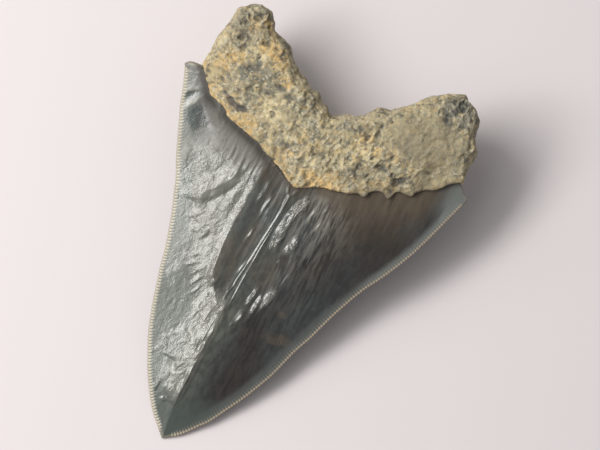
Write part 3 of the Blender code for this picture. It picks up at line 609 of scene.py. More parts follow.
def under_seam(at, seam):
    """The root's border on the lingual face: the labial one moved towards the tip by
    SEAM_DROP_LINGUAL * sin(i * pi / 2), where i runs from 0 at the shoulders to 1 at the middle."""
    inside = np.clip((np.minimum(at, 1 - at) - SHOULDER_AT) / (MIDDLE_AT - SHOULDER_AT), 0, 1)
    return seam - np.stack([0 * at, SEAM_DROP_LINGUAL * np.sin(inside * np.pi / 2)], axis=1)


def chevron_band(points):
    """1 in the band between the lingual enamel and the root, 0 on the enamel. Its width is
    w + W * sin(pi * s)^1.5: 1.5 mm at the shoulders and 10 mm at the middle."""
    at = np.linspace(SHOULDER_AT, 1 - SHOULDER_AT, 60)
    seam = bar_curve([LEFT_SEAM, RIGHT_SEAM], at, [SHOULDER_AT, MIDDLE_AT, 1 - SHOULDER_AT])
    below, share = beside_line(points, under_seam(at, seam))
    width = BAND_WIDTH_LEAST + BAND_WIDTH_MORE * np.clip(np.sin(np.pi * share), 0, 1) ** 1.5
    return eased((width + layered(flattened(points), BAND_RAGGED) - below) / 1.2)


def lingual_relief(points):
    """Slow swells and faint upright lines on the lingual face, and the step down to the chevron band
    that borders the root."""
    inside = eased(edge_distance(points) / RELIEF_FULL_AT)
    return inside * (layered(flattened(points), LINGUAL_SWELLS) - BAND_STEP * chevron_band(points))


def face_height(points, sign):
    """The height of the labial face (sign 1) or the depth of the lingual one (sign -1)."""
    if sign > 0:
        return labial_height(points) + labial_relief(points)
    return lingual_depth(points) + lingual_relief(points)


def serrated_edge(edge, shoulder, inward_sign):
    """A cutting edge at every sample, then round the shoulder, and the directions that lead into the
    blade: the edge's own direction, evened out over eight serrations and turned a quarter."""
    on_edge = along(edge, np.linspace(0, 1, SERRATIONS * SAMPLES_PER_SERRATION + 1))
    past = along(shoulder, np.linspace(0, 1, SHOULDER_SAMPLES + 1)[1:])
    line = np.vstack([on_edge, past])
    run = np.gradient(line, axis=0)
    reach = 4 * SAMPLES_PER_SERRATION
    padded = np.pad(run, ((reach, reach), (0, 0)), mode="edge")
    even = np.ones(2 * reach + 1) / (2 * reach + 1)
    run = np.column_stack([np.convolve(padded[:, k], even, "valid") for k in range(2)])
    inward = inward_sign * np.column_stack([-run[:, 1], run[:, 0]])
    return line, inward / np.linalg.norm(inward, axis=1)[:, None]


def crown_shape():
    """The enamel blade as points, triangles, and each point's distance from the edge and place on a bead.

    Along each cutting edge each face has a strip of rings, P = edge point + inward direction * d, fine
    enough for the serrations. Between its two strips a face is a grid: row(u) from one strip to the
    keel and on to the other. A cap closes the last row, inside the root."""
    left, left_in = serrated_edge(LEFT_EDGE, LEFT_SHOULDER, -1)
    right, right_in = serrated_edge(RIGHT_EDGE, RIGHT_SHOULDER, 1)
    count, serrated = len(left), SERRATIONS * SAMPLES_PER_SERRATION
    sample = np.arange(count)
    bevel = np.minimum(BEVEL_WIDTH, BEVEL_SHARE_MOST * np.linalg.norm(right - left, axis=1))
    # one serration's outline, sqrt(1 - (2p - 1)^2) over its phase p: 0 in the gullets
    bead = np.sqrt(1 - (2 * (sample / SAMPLES_PER_SERRATION % 1.0) - 1) ** 2)
    bead[serrated:] = 1.0
    fades = sample / SERRATIONS_GROW_OVER, (serrated - sample) / SERRATIONS_FADE_OVER
    strength = eased(np.minimum(*fades))
    past = np.clip((sample - serrated) / (count - 1 - serrated), 0, 1)
    closing = np.maximum(np.sqrt(1 - past**2), LAST_ROW_THICKNESS)
    over = eased(past / SHOULDER_TURN)
    bevel = bevel + over * (SHOULDER_BEVEL - bevel)
    points, triangles, rims, beads = [], [], [], []

    def add(block, rim, bead_here):
        """Keeps a block of points with its fields and gives back the points' numbers."""
        start = sum(len(kept) for kept in points)
        points.append(block.reshape(-1, 3))
        rims.append(np.broadcast_to(rim, block.shape[:-1]).reshape(-1))
        beads.append(np.broadcast_to(bead_here, block.shape[:-1]).reshape(-1))
        return start + np.arange(block[..., 0].size).reshape(block.shape[:-1])

    gullet = SERRATION_DEPTH * strength * (1 - bead)
    ends = {"left": (left, left_in), "right": (right, right_in)}
    edge = {}
    for side, (at, inward) in ends.items():
        rim = at + gullet[:, None] * inward
        edge[side] = add(np.column_stack([rim, np.zeros(count)]), 0.0, bead * strength)
    caps = []
    for sign, columns, step in (
        (1, LABIAL_COLUMNS, LABIAL_ROW_SAMPLES),
        (-1, LINGUAL_COLUMNS, LINGUAL_ROW_SAMPLES),
    ):
        rings, inner = {}, {}
        for side, (at, inward) in ends.items():
            rings[side] = [edge[side]]
            for share in BEVEL_RINGS[1:]:
                flat = at + (bevel * share + gullet * (1 - share))[:, None] * inward
                standing = BEAD_HEIGHT * (bead - 0.5) * strength * math.sin(math.pi * share) ** BEAD_FULLNESS
                shut = closing * (1 - over * (1 - rounded(share)))
                z = sign * (face_height(flat, sign) * shut + standing)
                rings[side].append(add(np.column_stack([flat, z]), bevel * share, bead * strength))
            inner[side] = flat[::step]
        keel = profile((inner["left"][:, 1] + inner["right"][:, 1]) / 2, KEEL_Y, KEEL_X)
        width = np.maximum(inner["right"][:, 0] - inner["left"][:, 0], TINY)
        share = np.clip((keel - inner["left"][:, 0]) / width, *KEEL_SHARES)[:, None]
        middle = inner["left"] + share * (inner["right"] - inner["left"])
        spread = np.linspace(0, 1, columns + 1)[None, :, None] ** KEEL_CROWDING
        halves = [middle[:, None] + spread * (inner[side] - middle)[:, None] for side in ("left", "right")]
        flat = np.concatenate([halves[0][:, -2::-1], halves[1][:, 1:-1]], axis=1)
        z = sign * face_height(flat, sign) * closing[::step][:, None]
        grid = add(np.concatenate([flat, z[..., None]], axis=-1), edge_distance(flat), 0.0)
        triangles.append(grid_triangles(grid, sign < 0))
        for side, column in (("left", 0), ("right", -1)):
            turned = (side == "right") == (sign > 0)
            triangles.append(grid_triangles(np.array(rings[side]).T, turned))
            triangles.append(fan_triangles(rings[side][-1], grid[:, column], step, turned))
        caps.append((grid[-1], {side: np.array(rings[side])[:, -1] for side in rings}))
    (labial_row, labial), (lingual_row, lingual) = caps
    fine = np.concatenate([labial["left"][-1:], labial_row, labial["right"][-1:]])
    coarse = np.concatenate([lingual["left"][-1:], lingual_row, lingual["right"][-1:]])
    triangles.append(fan_triangles(fine, coarse, LABIAL_COLUMNS // LINGUAL_COLUMNS, True))
    triangles.append(grid_triangles(np.array([labial["left"], lingual["left"]]), False))
    triangles.append(grid_triangles(np.array([labial["right"], lingual["right"]]), True))
    return np.vstack(points), np.vstack(triangles), np.concatenate(rims), np.concatenate(beads)


def grid_triangles(numbers, turned):
    """Two triangles for each cell of a grid of point numbers."""
    a, b = numbers[:-1, :-1].ravel(), numbers[:-1, 1:].ravel()
    c, d = numbers[1:, 1:].ravel(), numbers[1:, :-1].ravel()
    found = np.concatenate([np.column_stack([a, b, c]), np.column_stack([a, c, d])])
    return found[:, ::-1] if turned else found


def fan_triangles(fine, coarse, ratio, turned):
    """Joins a line of points to one that has a point for every ratio of its own."""
    spans = len(coarse) - 1
    fans = [
        np.column_stack([coarse[:-1], fine[k + 1 :: ratio][:spans], fine[k::ratio][:spans]])
        for k in range(ratio)
    ]
    fans.append(np.column_stack([coarse[:-1], coarse[1:], fine[ratio::ratio][:spans]]))
    found = np.concatenate(fans)
    return found[:, ::-1] if turned else found


# ---------------------------------------------------------------- the root
def bar_curve(pieces, at, marks):
    """Points along curves that follow on from each other, which meet at the given marks of the bar."""
    found = np.empty((len(at), 2))
    for piece, low, high in zip(pieces, marks[:-1], marks[1:], strict=True):
        inside = (at >= low) & (at <= high)
        found[inside] = along(piece, (at[inside] - low) / (high - low))
    return found


def root_face(start, end, rim_height, swell, free, closure):
    """One face of the bar, from its lower side to its notch side: up from the ledge, or from nothing on
    a free side, to the swelling, and off in quarter circles at its free rims."""
    across = np.linspace(0, 1, ROOT_POINTS_ACROSS) ** ACROSS_CROWDING
    points = start[:, None] + across[:, None] * (end - start)[:, None]
    rim = rim_height + (swell - rim_height) * free
    height = rim[:, None] + (swell - rim)[:, None] * eased(across / SWELL_REACH)
    side = 1 - free[:, None] * (1 - rounded(across / SIDE_ROUNDING))
    height = height * side * rounded((1 - across) / NOTCH_ROUNDING) * closure[:, None]
    return np.concatenate([points, height[..., None]], axis=-1)


def root_loops():
    """The smooth bar: closed loops round it from one lobe's end to the other's, each loop's points spaced
    by its length, closer on the labial side."""
    at = np.linspace(0, 1, ROOT_STATIONS)
    at = at - STATION_CROWDING * np.sin(4 * np.pi * at) / (4 * np.pi)
    shoulders = [0.0, SHOULDER_AT, MIDDLE_AT, 1 - SHOULDER_AT, 1.0]
    lower = bar_curve([LEFT_SIDE, LEFT_SEAM, RIGHT_SEAM, RIGHT_SIDE], at, shoulders)
    half = 1 - np.abs(2 * at - 1)
    notch = np.where(
        (at <= MIDDLE_AT)[:, None],
        along(LEFT_NOTCH, half**NOTCH_SPACING_POWER),
        along(RIGHT_NOTCH, half**NOTCH_SPACING_POWER),
    )
    lingual = under_seam(at, lower)
    from_end = np.minimum(at, 1 - at)
    closure = rounded(from_end / LOBE_CLOSURE)
    free = 1 - eased((from_end - SHOULDER_AT + SEAM_BLEND) / (2 * SEAM_BLEND))
    crown_top, crown_under = labial_height(lower), lingual_depth(lingual)
    swell_top, swell_under = profile(at, BAR_AT, ROOT_HEIGHT), profile(at, BAR_AT, ROOT_DEPTH)
    top = root_face(lower, notch, crown_top + SEAM_LEDGE, swell_top, free, closure)
    under = root_face(lingual, notch, crown_under + SEAM_LEDGE_LINGUAL, swell_under, free, closure)
    under[..., 2] *= -1
    buried = BURIED_SHARE * (1 - free)
    wall_top = np.column_stack([lower, buried * crown_top])[:, None]
    wall_under = np.column_stack([lingual, -buried * crown_under])[:, None]
    loops = np.concatenate([wall_top, top, under[:, -2::-1], wall_under, wall_top], axis=1)
    steps = np.linalg.norm(np.diff(loops, axis=1), axis=-1)
    steps *= np.where(loops[:, :-1, 2] + loops[:, 1:, 2] > 0, LABIAL_CROWDING, 1.0)
    length = np.cumsum(np.pad(steps, ((0, 0), (1, 0))), axis=1)
    wanted = np.linspace(0, 1, ROOT_LOOP_POINTS, endpoint=False) * length[:, -1:]
    even = [[np.interp(w, have, c) for c in loop.T] for w, have, loop in zip(wanted, length, loops)]
    return np.moveaxis(np.array(even), 1, -1), closure


def unit_normals(loops):
    """The outward normal at each point of the loops: the differences to its neighbours along the bar and
    round the loop, crossed."""
    round_loop = np.roll(loops, -1, axis=1) - np.roll(loops, 1, axis=1)
    normal = np.cross(np.gradient(loops, axis=0), round_loop)
    return normal / np.maximum(np.linalg.norm(normal, axis=-1), TINY)[..., None]


def pitted(points):
    """The pits' depth: bowls round some of the scattered places, eased up to their rims."""
    depth = 0
    for most, spacing, seed, without in STONE_PITS:
        near, owner = cell_noise(points, spacing, seed)
        depth = depth + most * (owner > without) * eased((0.44 - near) / 0.40)
    return depth


def grooved(points, grooves):
    """The grooves, each depth * exp(-(d / reach)^2), fading out over a quarter of its length at its ends."""
    total = 0
    for line, depth, reach in grooves:
        aside, share = beside_line(points, line)
        total = total + depth * np.exp(-((aside / reach) ** 2)) * eased(np.minimum(share, 1 - share) / 0.25)
    return total


def root_shape():
    """The root's stone as points, triangles and the fields that its finish reads.

    P = smooth point + normal * (swells + lumps + knobs + grit - pits), each a lattice noise, less where it
    has lain on the ground. proud says how far a point stands out of the stone round it, from -1 to 1."""
    loops, closure = root_loops()
    normal, on_top = unit_normals(loops), loops[..., 2] > 0
    drifted = loops + layered(loops, STONE_DRIFT)[..., None]
    even, knobby = in_patches(drifted, SMOOTH_STONE) * on_top, in_patches(loops, KNOBBY_STONE) * on_top
    stray = [lattice_noise(loops, STONE_STRAY_SIZE, seed) for seed in STONE_STRAY_SEEDS]
    strayed = loops + STONE_STRAY * np.stack(stray, axis=-1)
    lumps = layered(loops, STONE_SWELLS) + layered(strayed, STONE_LUMPS)
    knobs = (0.40 + 0.40 * knobby) * creased(strayed, STONE_KNOBS) - 0.1
    fine = (knobs + layered(loops, STONE_GRIT) - pitted(strayed)) * (1 - EVEN_GRIT_LOSES * even)
    grooves = grooved(strayed, ROOT_GROOVES) * on_top
    for middle, height, reach in ROOT_LUMPS:
        gap = np.hypot(loops[..., 0] - middle[0], loops[..., 1] - middle[1]) / reach
        lumps += height * np.exp(-(gap**2)) * on_top
    worn = eased((-loops[..., 2] - WORN_FROM) / WORN_OVER)
    relief = lumps * (1 - WORN_LUMPS_LOSE * worn) + (fine - grooves) * (1 - WORN_GRIT_LOSES * worn)
    relief *= (0.35 + 0.65 * closure[:, None]) * (0.45 + 0.55 * np.abs(normal[..., 2]))
    points = (loops + relief[..., None] * normal).reshape(-1, 3)
    numbers = np.arange(len(points)).reshape(relief.shape)
    ringed = np.column_stack([numbers, numbers[:, 0]])
    seam = np.abs(beside_line(points, SEAM_LINE)[0])
    right_of_middle = eased((points[:, 0] - 12) / 8)
    fields = {
        "proud": np.clip((fine - grooves) / 0.8, -1, 1),
        "even_stone": even,
        "knobby": knobby,
        "lip": np.exp(-seam / 1.6) * (1 - 0.65 * right_of_middle),
        "seam_shade": 0.75 * np.exp(-seam / 1.3) * right_of_middle * eased((38 - points[:, 0]) / 4),
        "laminae": np.clip(grooved(strayed, LAMINAR_GROOVES) * on_top / 0.25, 0, 1),
    }
    painted = {"ochre_stone": OCHRE_STONE, "pale_stone": PALE_STONE, "dark_stone": DARK_STONE}
    for name, patches in painted.items():
        fields[name] = in_patches(drifted, patches) * on_top
    return points, grid_triangles(ringed, True), {name: values.ravel() for name, values in fields.items()}


# ---------------------------------------------------------------- laying down and making meshes
def laid_down(points):
    """The tooth's frame turned about x by the lie angle, then moved so that the tip and the left shoulder
    meet the solid's box, with all that would be under the table worn flat. In metres."""
    turn = math.radians(LIE_DEG)
    x, y, z = points.T
    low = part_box("tooth")[0] / MM
    return MM * np.column_stack([
        x - LEFT_EDGE[-1][0] + low.x,
        (y - TIP[1]) * math.cos(turn) - z * math.sin(turn) + low.y,
        np.maximum(y * math.sin(turn) + z * math.cos(turn) + TABLE_UNDER_ORIGIN, 0),
    ])


def welded(points, triangles):
    """The kept points once those that coincide are made one, and the triangles that don't collapse."""
    _, first, number = np.unique(np.round(points, 6), axis=0, return_index=True, return_inverse=True)
    triangles = number.ravel()[triangles]
    a, b, c = triangles.T
    return first, triangles[(a != b) & (b != c) & (c != a)]


def piece(name, points, triangles, fields, slot, finish):
    """A mesh object from points in the tooth's frame. It rides on the root body and stands for the tooth."""
    kept, triangles = welded(points, triangles)
    mesh = bpy.data.meshes.new(name)
    mesh.from_pydata(laid_down(points[kept]).tolist(), [], triangles.tolist())
    mesh.shade_smooth()
    for field, values in fields.items():
        made = mesh.attributes.new(field, "FLOAT", "POINT")
        made.data.foreach_set("value", np.ascontiguousarray(values[kept], np.float32))
    mesh.materials.append(finish)
    shape = bpy.data.objects.new(name, mesh)
    bpy.context.scene.collection.objects.link(shape)
    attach(shape, "root")
    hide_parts("tooth")
    return shape


# ---------------------------------------------------------------- the finishes' shared effects
def put(tree, kind, inputs=None, **settings):
    """A node with these settings, its inputs set to values or joined to other nodes' outputs."""
    made = tree.nodes.new(kind)
    for key, value in settings.items():
        setattr(made, key, value)
    for key, value in (inputs or {}).items():
        if isinstance(value, bpy.types.NodeSocket):
            tree.links.new(value, made.inputs[key])
        else:
            made.inputs[key].default_value = value
    return made


def math_of(tree, operation, a, b=0.0):
    """One sum on values or outputs."""
    return put(tree, "ShaderNodeMath", {0: a, 1: b}, operation=operation).outputs[0]


def product(tree, first, *others):
    """All of them multiplied."""
    for other in others:
        first = math_of(tree, "MULTIPLY", first, other)
    return first


def ramped(tree, value, low, high):
    """0 below low, 1 above high, eased between."""
    sockets = {"Value": value, "From Min": low, "From Max": high}
    return put(tree, "ShaderNodeMapRange", sockets, interpolation_type="SMOOTHSTEP").outputs[0]


def spread(tree, value, first, last):
    """A value from 0 to 1 read as one from first to last."""
    return put(tree, "ShaderNodeMapRange", {"Value": value, "To Min": first, "To Max": last}).outputs[0]


def blended(tree, share, below, above, how="MIX"):
    """One colour laid over another by a share."""
    sockets = {0: share, 6: below, 7: above}
    return put(tree, "ShaderNodeMix", sockets, data_type="RGBA", blend_type=how).outputs[2]


def field(tree, name):
    """The mesh's values of this name."""
    return put(tree, "ShaderNodeAttribute", attribute_name=name).outputs["Fac"]


def socket_group(name, sockets_in, sockets_out):
    """An empty node group with these inputs, as (name, kind, value), and outputs, as (name, kind)."""
    tree = bpy.data.node_groups.new(name, "ShaderNodeTree")
    for label, kind, value in sockets_in:
        made = tree.interface.new_socket(label, in_out="INPUT", socket_type=kind)
        if value is not None:
            made.default_value = value
    for label, kind in sockets_out:
        tree.interface.new_socket(label, in_out="OUTPUT", socket_type=kind)
    return tree, tree.nodes.new("NodeGroupInput").outputs, tree.nodes.new("NodeGroupOutput").inputs


FLOAT, COLOUR = "NodeSocketFloat", "NodeSocketColor"


def drawn_noise(tree, given, place, detail, roughness):
    """Noise over a place, of the given size in mm across x and drawn out along y and z."""
    scale = math_of(tree, "DIVIDE", 1 / MM, given["Size"])
    drawn = math_of(tree, "DIVIDE", scale, given["Drawn out"])
    size = put(tree, "ShaderNodeCombineXYZ", {"X": scale, "Y": drawn, "Z": drawn}).outputs[0]
    scaled = put(tree, "ShaderNodeVectorMath", {0: place, 1: size}, operation="MULTIPLY").outputs[0]
    sockets = {"Vector": scaled, "W": given["Seed"], "Scale": 1.0, "Detail": detail, "Roughness": roughness}
    return put(tree, "ShaderNodeTexNoise", sockets, noise_dimensions="4D").outputs["Fac"]


def blotch_group():
    """Soft blotches: noise of a size in mm, drawn out along y and z, cut off at a cover from 0 to 1."""
    tree, given, result = socket_group(
        "blotches",
        [("Size", FLOAT, 3.0), ("Drawn out", FLOAT, 1.0), ("Cover", FLOAT, 0.5), ("Softness", FLOAT, 0.1),
         ("Seed", FLOAT, 0.0)],
        [("Mask", FLOAT), ("Noise", FLOAT)],
    )
    noise = drawn_noise(tree, given, put(tree, "ShaderNodeTexCoord").outputs["Object"], 4.0, 0.6)
    # the noise spreads about 0.5 by roughly 0.17, so a cover of 0 to 1 is read as 0.75 down to 0.25
    cut = spread(tree, given["Cover"], 0.75, 0.25)
    low = math_of(tree, "SUBTRACT", cut, given["Softness"])
    high = math_of(tree, "ADD", cut, given["Softness"])
    tree.links.new(ramped(tree, noise, low, high), result["Mask"])
    tree.links.new(noise, result["Noise"])
    return tree


def grain_group():
    """The surface's fine grain: noise as a height in mm, drawn out along y and z, leaned by an angle
    about z, and folded into sharp crests by a share."""
    tree, given, result = socket_group(
        "grain",
        [("Size", FLOAT, 0.5), ("Drawn out", FLOAT, 1.0), ("Height", FLOAT, 0.05), ("Seed", FLOAT, 0.0),
         ("Lean", FLOAT, 0.0), ("Crests", FLOAT, 0.0)],
        [("Height", FLOAT), ("Mask", FLOAT)],
    )
    place = put(tree, "ShaderNodeTexCoord").outputs["Object"]
    leaned = {"Vector": place, "Angle": given["Lean"]}
    leaned = put(tree, "ShaderNodeVectorRotate", leaned, rotation_type="Z_AXIS").outputs[0]
    noise = drawn_noise(tree, given, leaned, 3.0, 0.62)
    # |2n - 1|, turned over, has a crest wherever the noise passes through its middle
    fold = math_of(tree, "ABSOLUTE", product(tree, math_of(tree, "SUBTRACT", noise, 0.5), 2.0))
    fold = math_of(tree, "SUBTRACT", 1.0, fold)
    mixed = put(tree, "ShaderNodeMix", {0: given["Crests"], 2: noise, 3: fold}, data_type="FLOAT").outputs[0]
    tree.links.new(product(tree, mixed, given["Height"]), result["Height"])
    tree.links.new(ramped(tree, noise, 0.35, 0.65), result["Mask"])
    return tree


def shade_and_highlight_group():
    """Painted shade in the hollows, and a paler tone on what stands proud: rubbed wear with a painted
    highlight.
    """
    tree, given, result = socket_group(
        "shade_and_rubbed_highlight",
        [("Colour", COLOUR, None), ("Proud", FLOAT, 0.0), ("Dirt", COLOUR, None), ("Dirt share", FLOAT, 0.5),
         ("Rubbed", COLOUR, None), ("Rubbed share", FLOAT, 0.3)],
        [("Colour", COLOUR)],
    )
    shaded_share = product(tree, ramped(tree, given["Proud"], -0.05, -0.75), given["Dirt share"])
    rubbed_highlight = product(tree, ramped(tree, given["Proud"], 0.05, 0.75), given["Rubbed share"])
    below = blended(tree, shaded_share, given["Colour"], given["Dirt"])
    tree.links.new(blended(tree, rubbed_highlight, below, given["Rubbed"]), result["Colour"])
    return tree


BLOTCHES, GRAIN, SHADE_AND_HIGHLIGHT = blotch_group(), grain_group(), shade_and_highlight_group()


def placed(tree, group, **inputs):
    """A group's node, its inputs named with _ for spaces."""
    named = {key.replace("_", " "): value for key, value in inputs.items()}
    return put(tree, "ShaderNodeGroup", named, node_tree=group).outputs


def bare_finish(name, **constants):
    """A material with its Principled shader's plain values set, its inputs named with _ for spaces."""
    made = bpy.data.materials.new(name)
    made.use_nodes = True
    shader = made.node_tree.nodes["Principled BSDF"]
    for key, value in constants.items():
        shader.inputs[key.replace("_", " ")].default_value = value
    return made, made.node_tree, shader


def bumped(tree, shader, height, strength):
    """Stands a height in mm on the surface."""
    bump = put(tree, "ShaderNodeBump", {"Height": height, "Distance": MM, "Strength": strength})
    tree.links.new(bump.outputs[0], shader.inputs["Normal"])


# ---------------------------------------------------------------- enamel
GREY_GREEN = (0.055, 0.060, 0.054, 1)
BROWN_BLACK = (0.018, 0.0150, 0.0135, 1)
BLUE_BLACK = (0.024, 0.028, 0.031, 1)
RIM_GREY = (0.105, 0.116, 0.106, 1)
RIM_BLUE = (0.150, 0.165, 0.163, 1)
TIP_GREEN = (0.052, 0.066, 0.058, 1)
ROOT_BROWN = (0.070, 0.050, 0.031, 1)
STAIN_AND_SHADOW_BLACK = (0.028, 0.022, 0.017, 1)
BLOOM_AND_SHEEN = (0.215, 0.210, 0.192, 1)
STREAK_GREY = (0.235, 0.225, 0.200, 1)
SMEAR_BROWN = (0.074, 0.056, 0.040, 1)
DUSTY_ROSE = (0.088, 0.077, 0.062, 1)
LIT_OLIVE = (0.46, 0.44, 0.31, 1)
RUBBED_HIGHLIGHT_WHITE = (0.34, 0.33, 0.29, 1)
CREAM = (0.42, 0.385, 0.30, 1)
TAN = (0.38, 0.31, 0.23, 1)
GULLET = (0.17, 0.155, 0.125, 1)
PLATEAU_BLUE = (0.074, 0.089, 0.088, 1)
PLATEAU_BROWN = (0.101, 0.087, 0.071, 1)
TEAL_SHADE = (0.026, 0.042, 0.043, 1)
BAND_BROWN = (0.060, 0.050, 0.038, 1)


BRIGHTER_STREAKS = (1.45, 1.42, 1.36, 1)
MOTTLE_DARK, MOTTLE_LIGHT = (0.84, 0.84, 0.84, 1), (1.42, 1.41, 1.38, 1)
ENAMEL_ROUGHNESS = (0.21, 0.27)


def enamel_ground(tree, right, streaks, mottle):
    """Grey-green on the left, brown-black with blue-black clouds on the right, and drifts of brown and
    blue on the flat, all streaked and mottled."""
    clouds = placed(tree, BLOTCHES, Size=11.0, Drawn_out=1.8, Cover=0.5, Softness=0.2, Seed=2.0)
    drifts = placed(tree, BLOTCHES, Size=5.0, Drawn_out=2.6, Cover=0.5, Softness=0.10, Seed=7.0)
    dark = blended(tree, clouds["Mask"], BROWN_BLACK, BLUE_BLACK)
    drifted = blended(tree, drifts["Mask"], PLATEAU_BROWN, PLATEAU_BLUE)
    colour = blended(tree, right, GREY_GREEN, dark)
    colour = blended(tree, field(tree, "plateau"), colour, drifted)
    faint = math_of(tree, "SUBTRACT", 0.55, product(tree, right, 0.35))
    colour = blended(tree, product(tree, streaks["Mask"], faint), colour, BRIGHTER_STREAKS, "MULTIPLY")
    tone = blended(tree, mottle["Mask"], MOTTLE_DARK, MOTTLE_LIGHT)
    return blended(tree, 1.0, colour, tone, "MULTIPLY")


def enamel_marks(tree, colour, right, streaks, mottle, stain_and_shadow):
    """The ground with its smears, streaks, bloom painted paler as a sheen, paler rim, facets painted dark as
    shade, a shoulder top painted lighter as light, rubbed lines with a painted highlight, and stains with a
    painted shadow over it.
    """
    broken = ramped(tree, mottle["Noise"], 0.3, 0.6)
    for share, paint in (
        (product(tree, field(tree, "smears"), broken), SMEAR_BROWN),
        (product(tree, field(tree, "striae"), streaks["Mask"]), STREAK_GREY),
        # hammered enamel painted paler: partly its worn, etched tone, partly a painted sheen
        (product(tree, field(tree, "hammered"), 0.48), BLOOM_AND_SHEEN),
        (field(tree, "rim_band"), blended(tree, right, RIM_GREY, RIM_BLUE)),
        (field(tree, "tip"), TIP_GREEN),
        # painted shade: the shoulder's facets that turn from the light are painted dark teal
        (field(tree, "teal_shade"), TEAL_SHADE),
        (field(tree, "dusty"), DUSTY_ROSE),
        # rubbed edges, painted pale as a highlight along the crests
        (product(tree, field(tree, "rubbed_highlight"), broken, 0.75), RUBBED_HIGHLIGHT_WHITE),
        # painted light: the olive top of the left shoulder is painted lighter, as if the lamp reached it
        (field(tree, "lit_olive"), LIT_OLIVE),
        # under the root: brown stain on the right, and on the left a near-black painted shadow under the lip
        (stain_and_shadow, blended(tree, right, STAIN_AND_SHADOW_BLACK, ROOT_BROWN)),
        (field(tree, "band"), BAND_BROWN),
    ):
        colour = blended(tree, share, colour, paint)
    # Over it all, painted shade in the hollows between the folds, and a paler tone on the folds: rubbed wear
    # with a painted highlight.
    return placed(tree, SHADE_AND_HIGHLIGHT, Colour=colour, Proud=field(tree, "crest"), Dirt=BROWN_BLACK, Dirt_share=0.45,
                  Rubbed=BLOOM_AND_SHEEN, Rubbed_share=0.35)["Colour"]


def enamel_relief(tree, fine):
    """The height in mm of the fine grain, stronger where the enamel is hammered, where it also crumples."""
    hammered = field(tree, "hammered")
    drawn = placed(tree, GRAIN, Size=0.30, Drawn_out=12.0, Height=0.012, Seed=5.0)
    crumpled = placed(tree, GRAIN, Size=1.15, Drawn_out=1.5, Height=0.34, Seed=6.0, Lean=0.45, Crests=0.35)
    stronger = math_of(tree, "ADD", product(tree, hammered, 1.6), 0.25)
    height = math_of(tree, "ADD", product(tree, fine["Height"], stronger), drawn["Height"])
    return math_of(tree, "ADD", height, product(tree, crumpled["Height"], hammered))


def enamel_finish():
    """Polished fossil enamel: dark grey-green on the left, brown-black on the right, a paler rim, brown
    stains under the root with a painted shadow under its left lip, cream serrations."""
    made, tree, shader = bare_finish("fossil_enamel", IOR=1.62)
    right, rim = field(tree, "right_side"), field(tree, "rim")
    streaks = placed(tree, BLOTCHES, Size=1.0, Drawn_out=7.0, Cover=0.5, Softness=0.08, Seed=1.0)
    mottle = placed(tree, BLOTCHES, Size=1.7, Drawn_out=1.8, Cover=0.5, Softness=0.14, Seed=3.0)
    fine = placed(tree, GRAIN, Size=0.42, Drawn_out=1.4, Height=0.060, Seed=4.0)
    # brown stain under the root, and a painted shadow under its left lip
    stain_and_shadow = product(tree, field(tree, "root_stain_and_shadow"), ramped(tree, streaks["Noise"], 0.18, 0.48))
    colour = enamel_ground(tree, right, streaks, mottle)
    colour = enamel_marks(tree, colour, right, streaks, mottle, stain_and_shadow)
    # the serrations, cream on the left and tan on the right, and their faint lines into the enamel
    ridge = ramped(tree, field(tree, "bead"), 0.35, 0.98)
    beads = blended(tree, ridge, GULLET, blended(tree, right, CREAM, TAN))
    comb = product(tree, ridge, ramped(tree, rim, 2.4, 0.6), 0.35)
    narrower = math_of(tree, "ADD", product(tree, right, 0.6), 1.0)
    reach = math_of(tree, "SUBTRACT", product(tree, rim, narrower), product(tree, ridge, 0.5))
    near_edge = ramped(tree, reach, 1.20, 0.15)
    colour = blended(tree, near_edge, blended(tree, comb, colour, STREAK_GREY), beads)
    tree.links.new(colour, shader.inputs["Base Color"])
    bumped(tree, shader, enamel_relief(tree, fine), 1.0)
    dull = spread(tree, fine["Mask"], *ENAMEL_ROUGHNESS)
    for share, more in (
        (near_edge, 0.25), (field(tree, "band"), 0.2), (field(tree, "dusty"), 0.35), (stain_and_shadow, 0.4),
        (field(tree, "teal_shade"), -0.10),
    ):
        dull = math_of(tree, "ADD", dull, product(tree, share, more))
    tree.links.new(dull, shader.inputs["Roughness"])
    return made


# ---------------------------------------------------------------- stone
BEIGE = (0.370, 0.312, 0.190, 1)
OCHRE = (0.57, 0.375, 0.145, 1)
PALE_CREAM = (0.60, 0.55, 0.42, 1)
STONE_GREY = (0.155, 0.152, 0.124, 1)
STONE_BLACK = (0.045, 0.048, 0.050, 1)
EVEN_BROWN = (0.245, 0.213, 0.142, 1)
STONE_SLATE = (0.092, 0.100, 0.092, 1)
SEAM_BROWN = (0.130, 0.108, 0.080, 1)
PALE_SAND = (0.57, 0.480, 0.285, 1)
LAMINA_DARK = (0.09, 0.065, 0.075, 1)


STONE_ROUGHNESS = (0.78, 0.92)
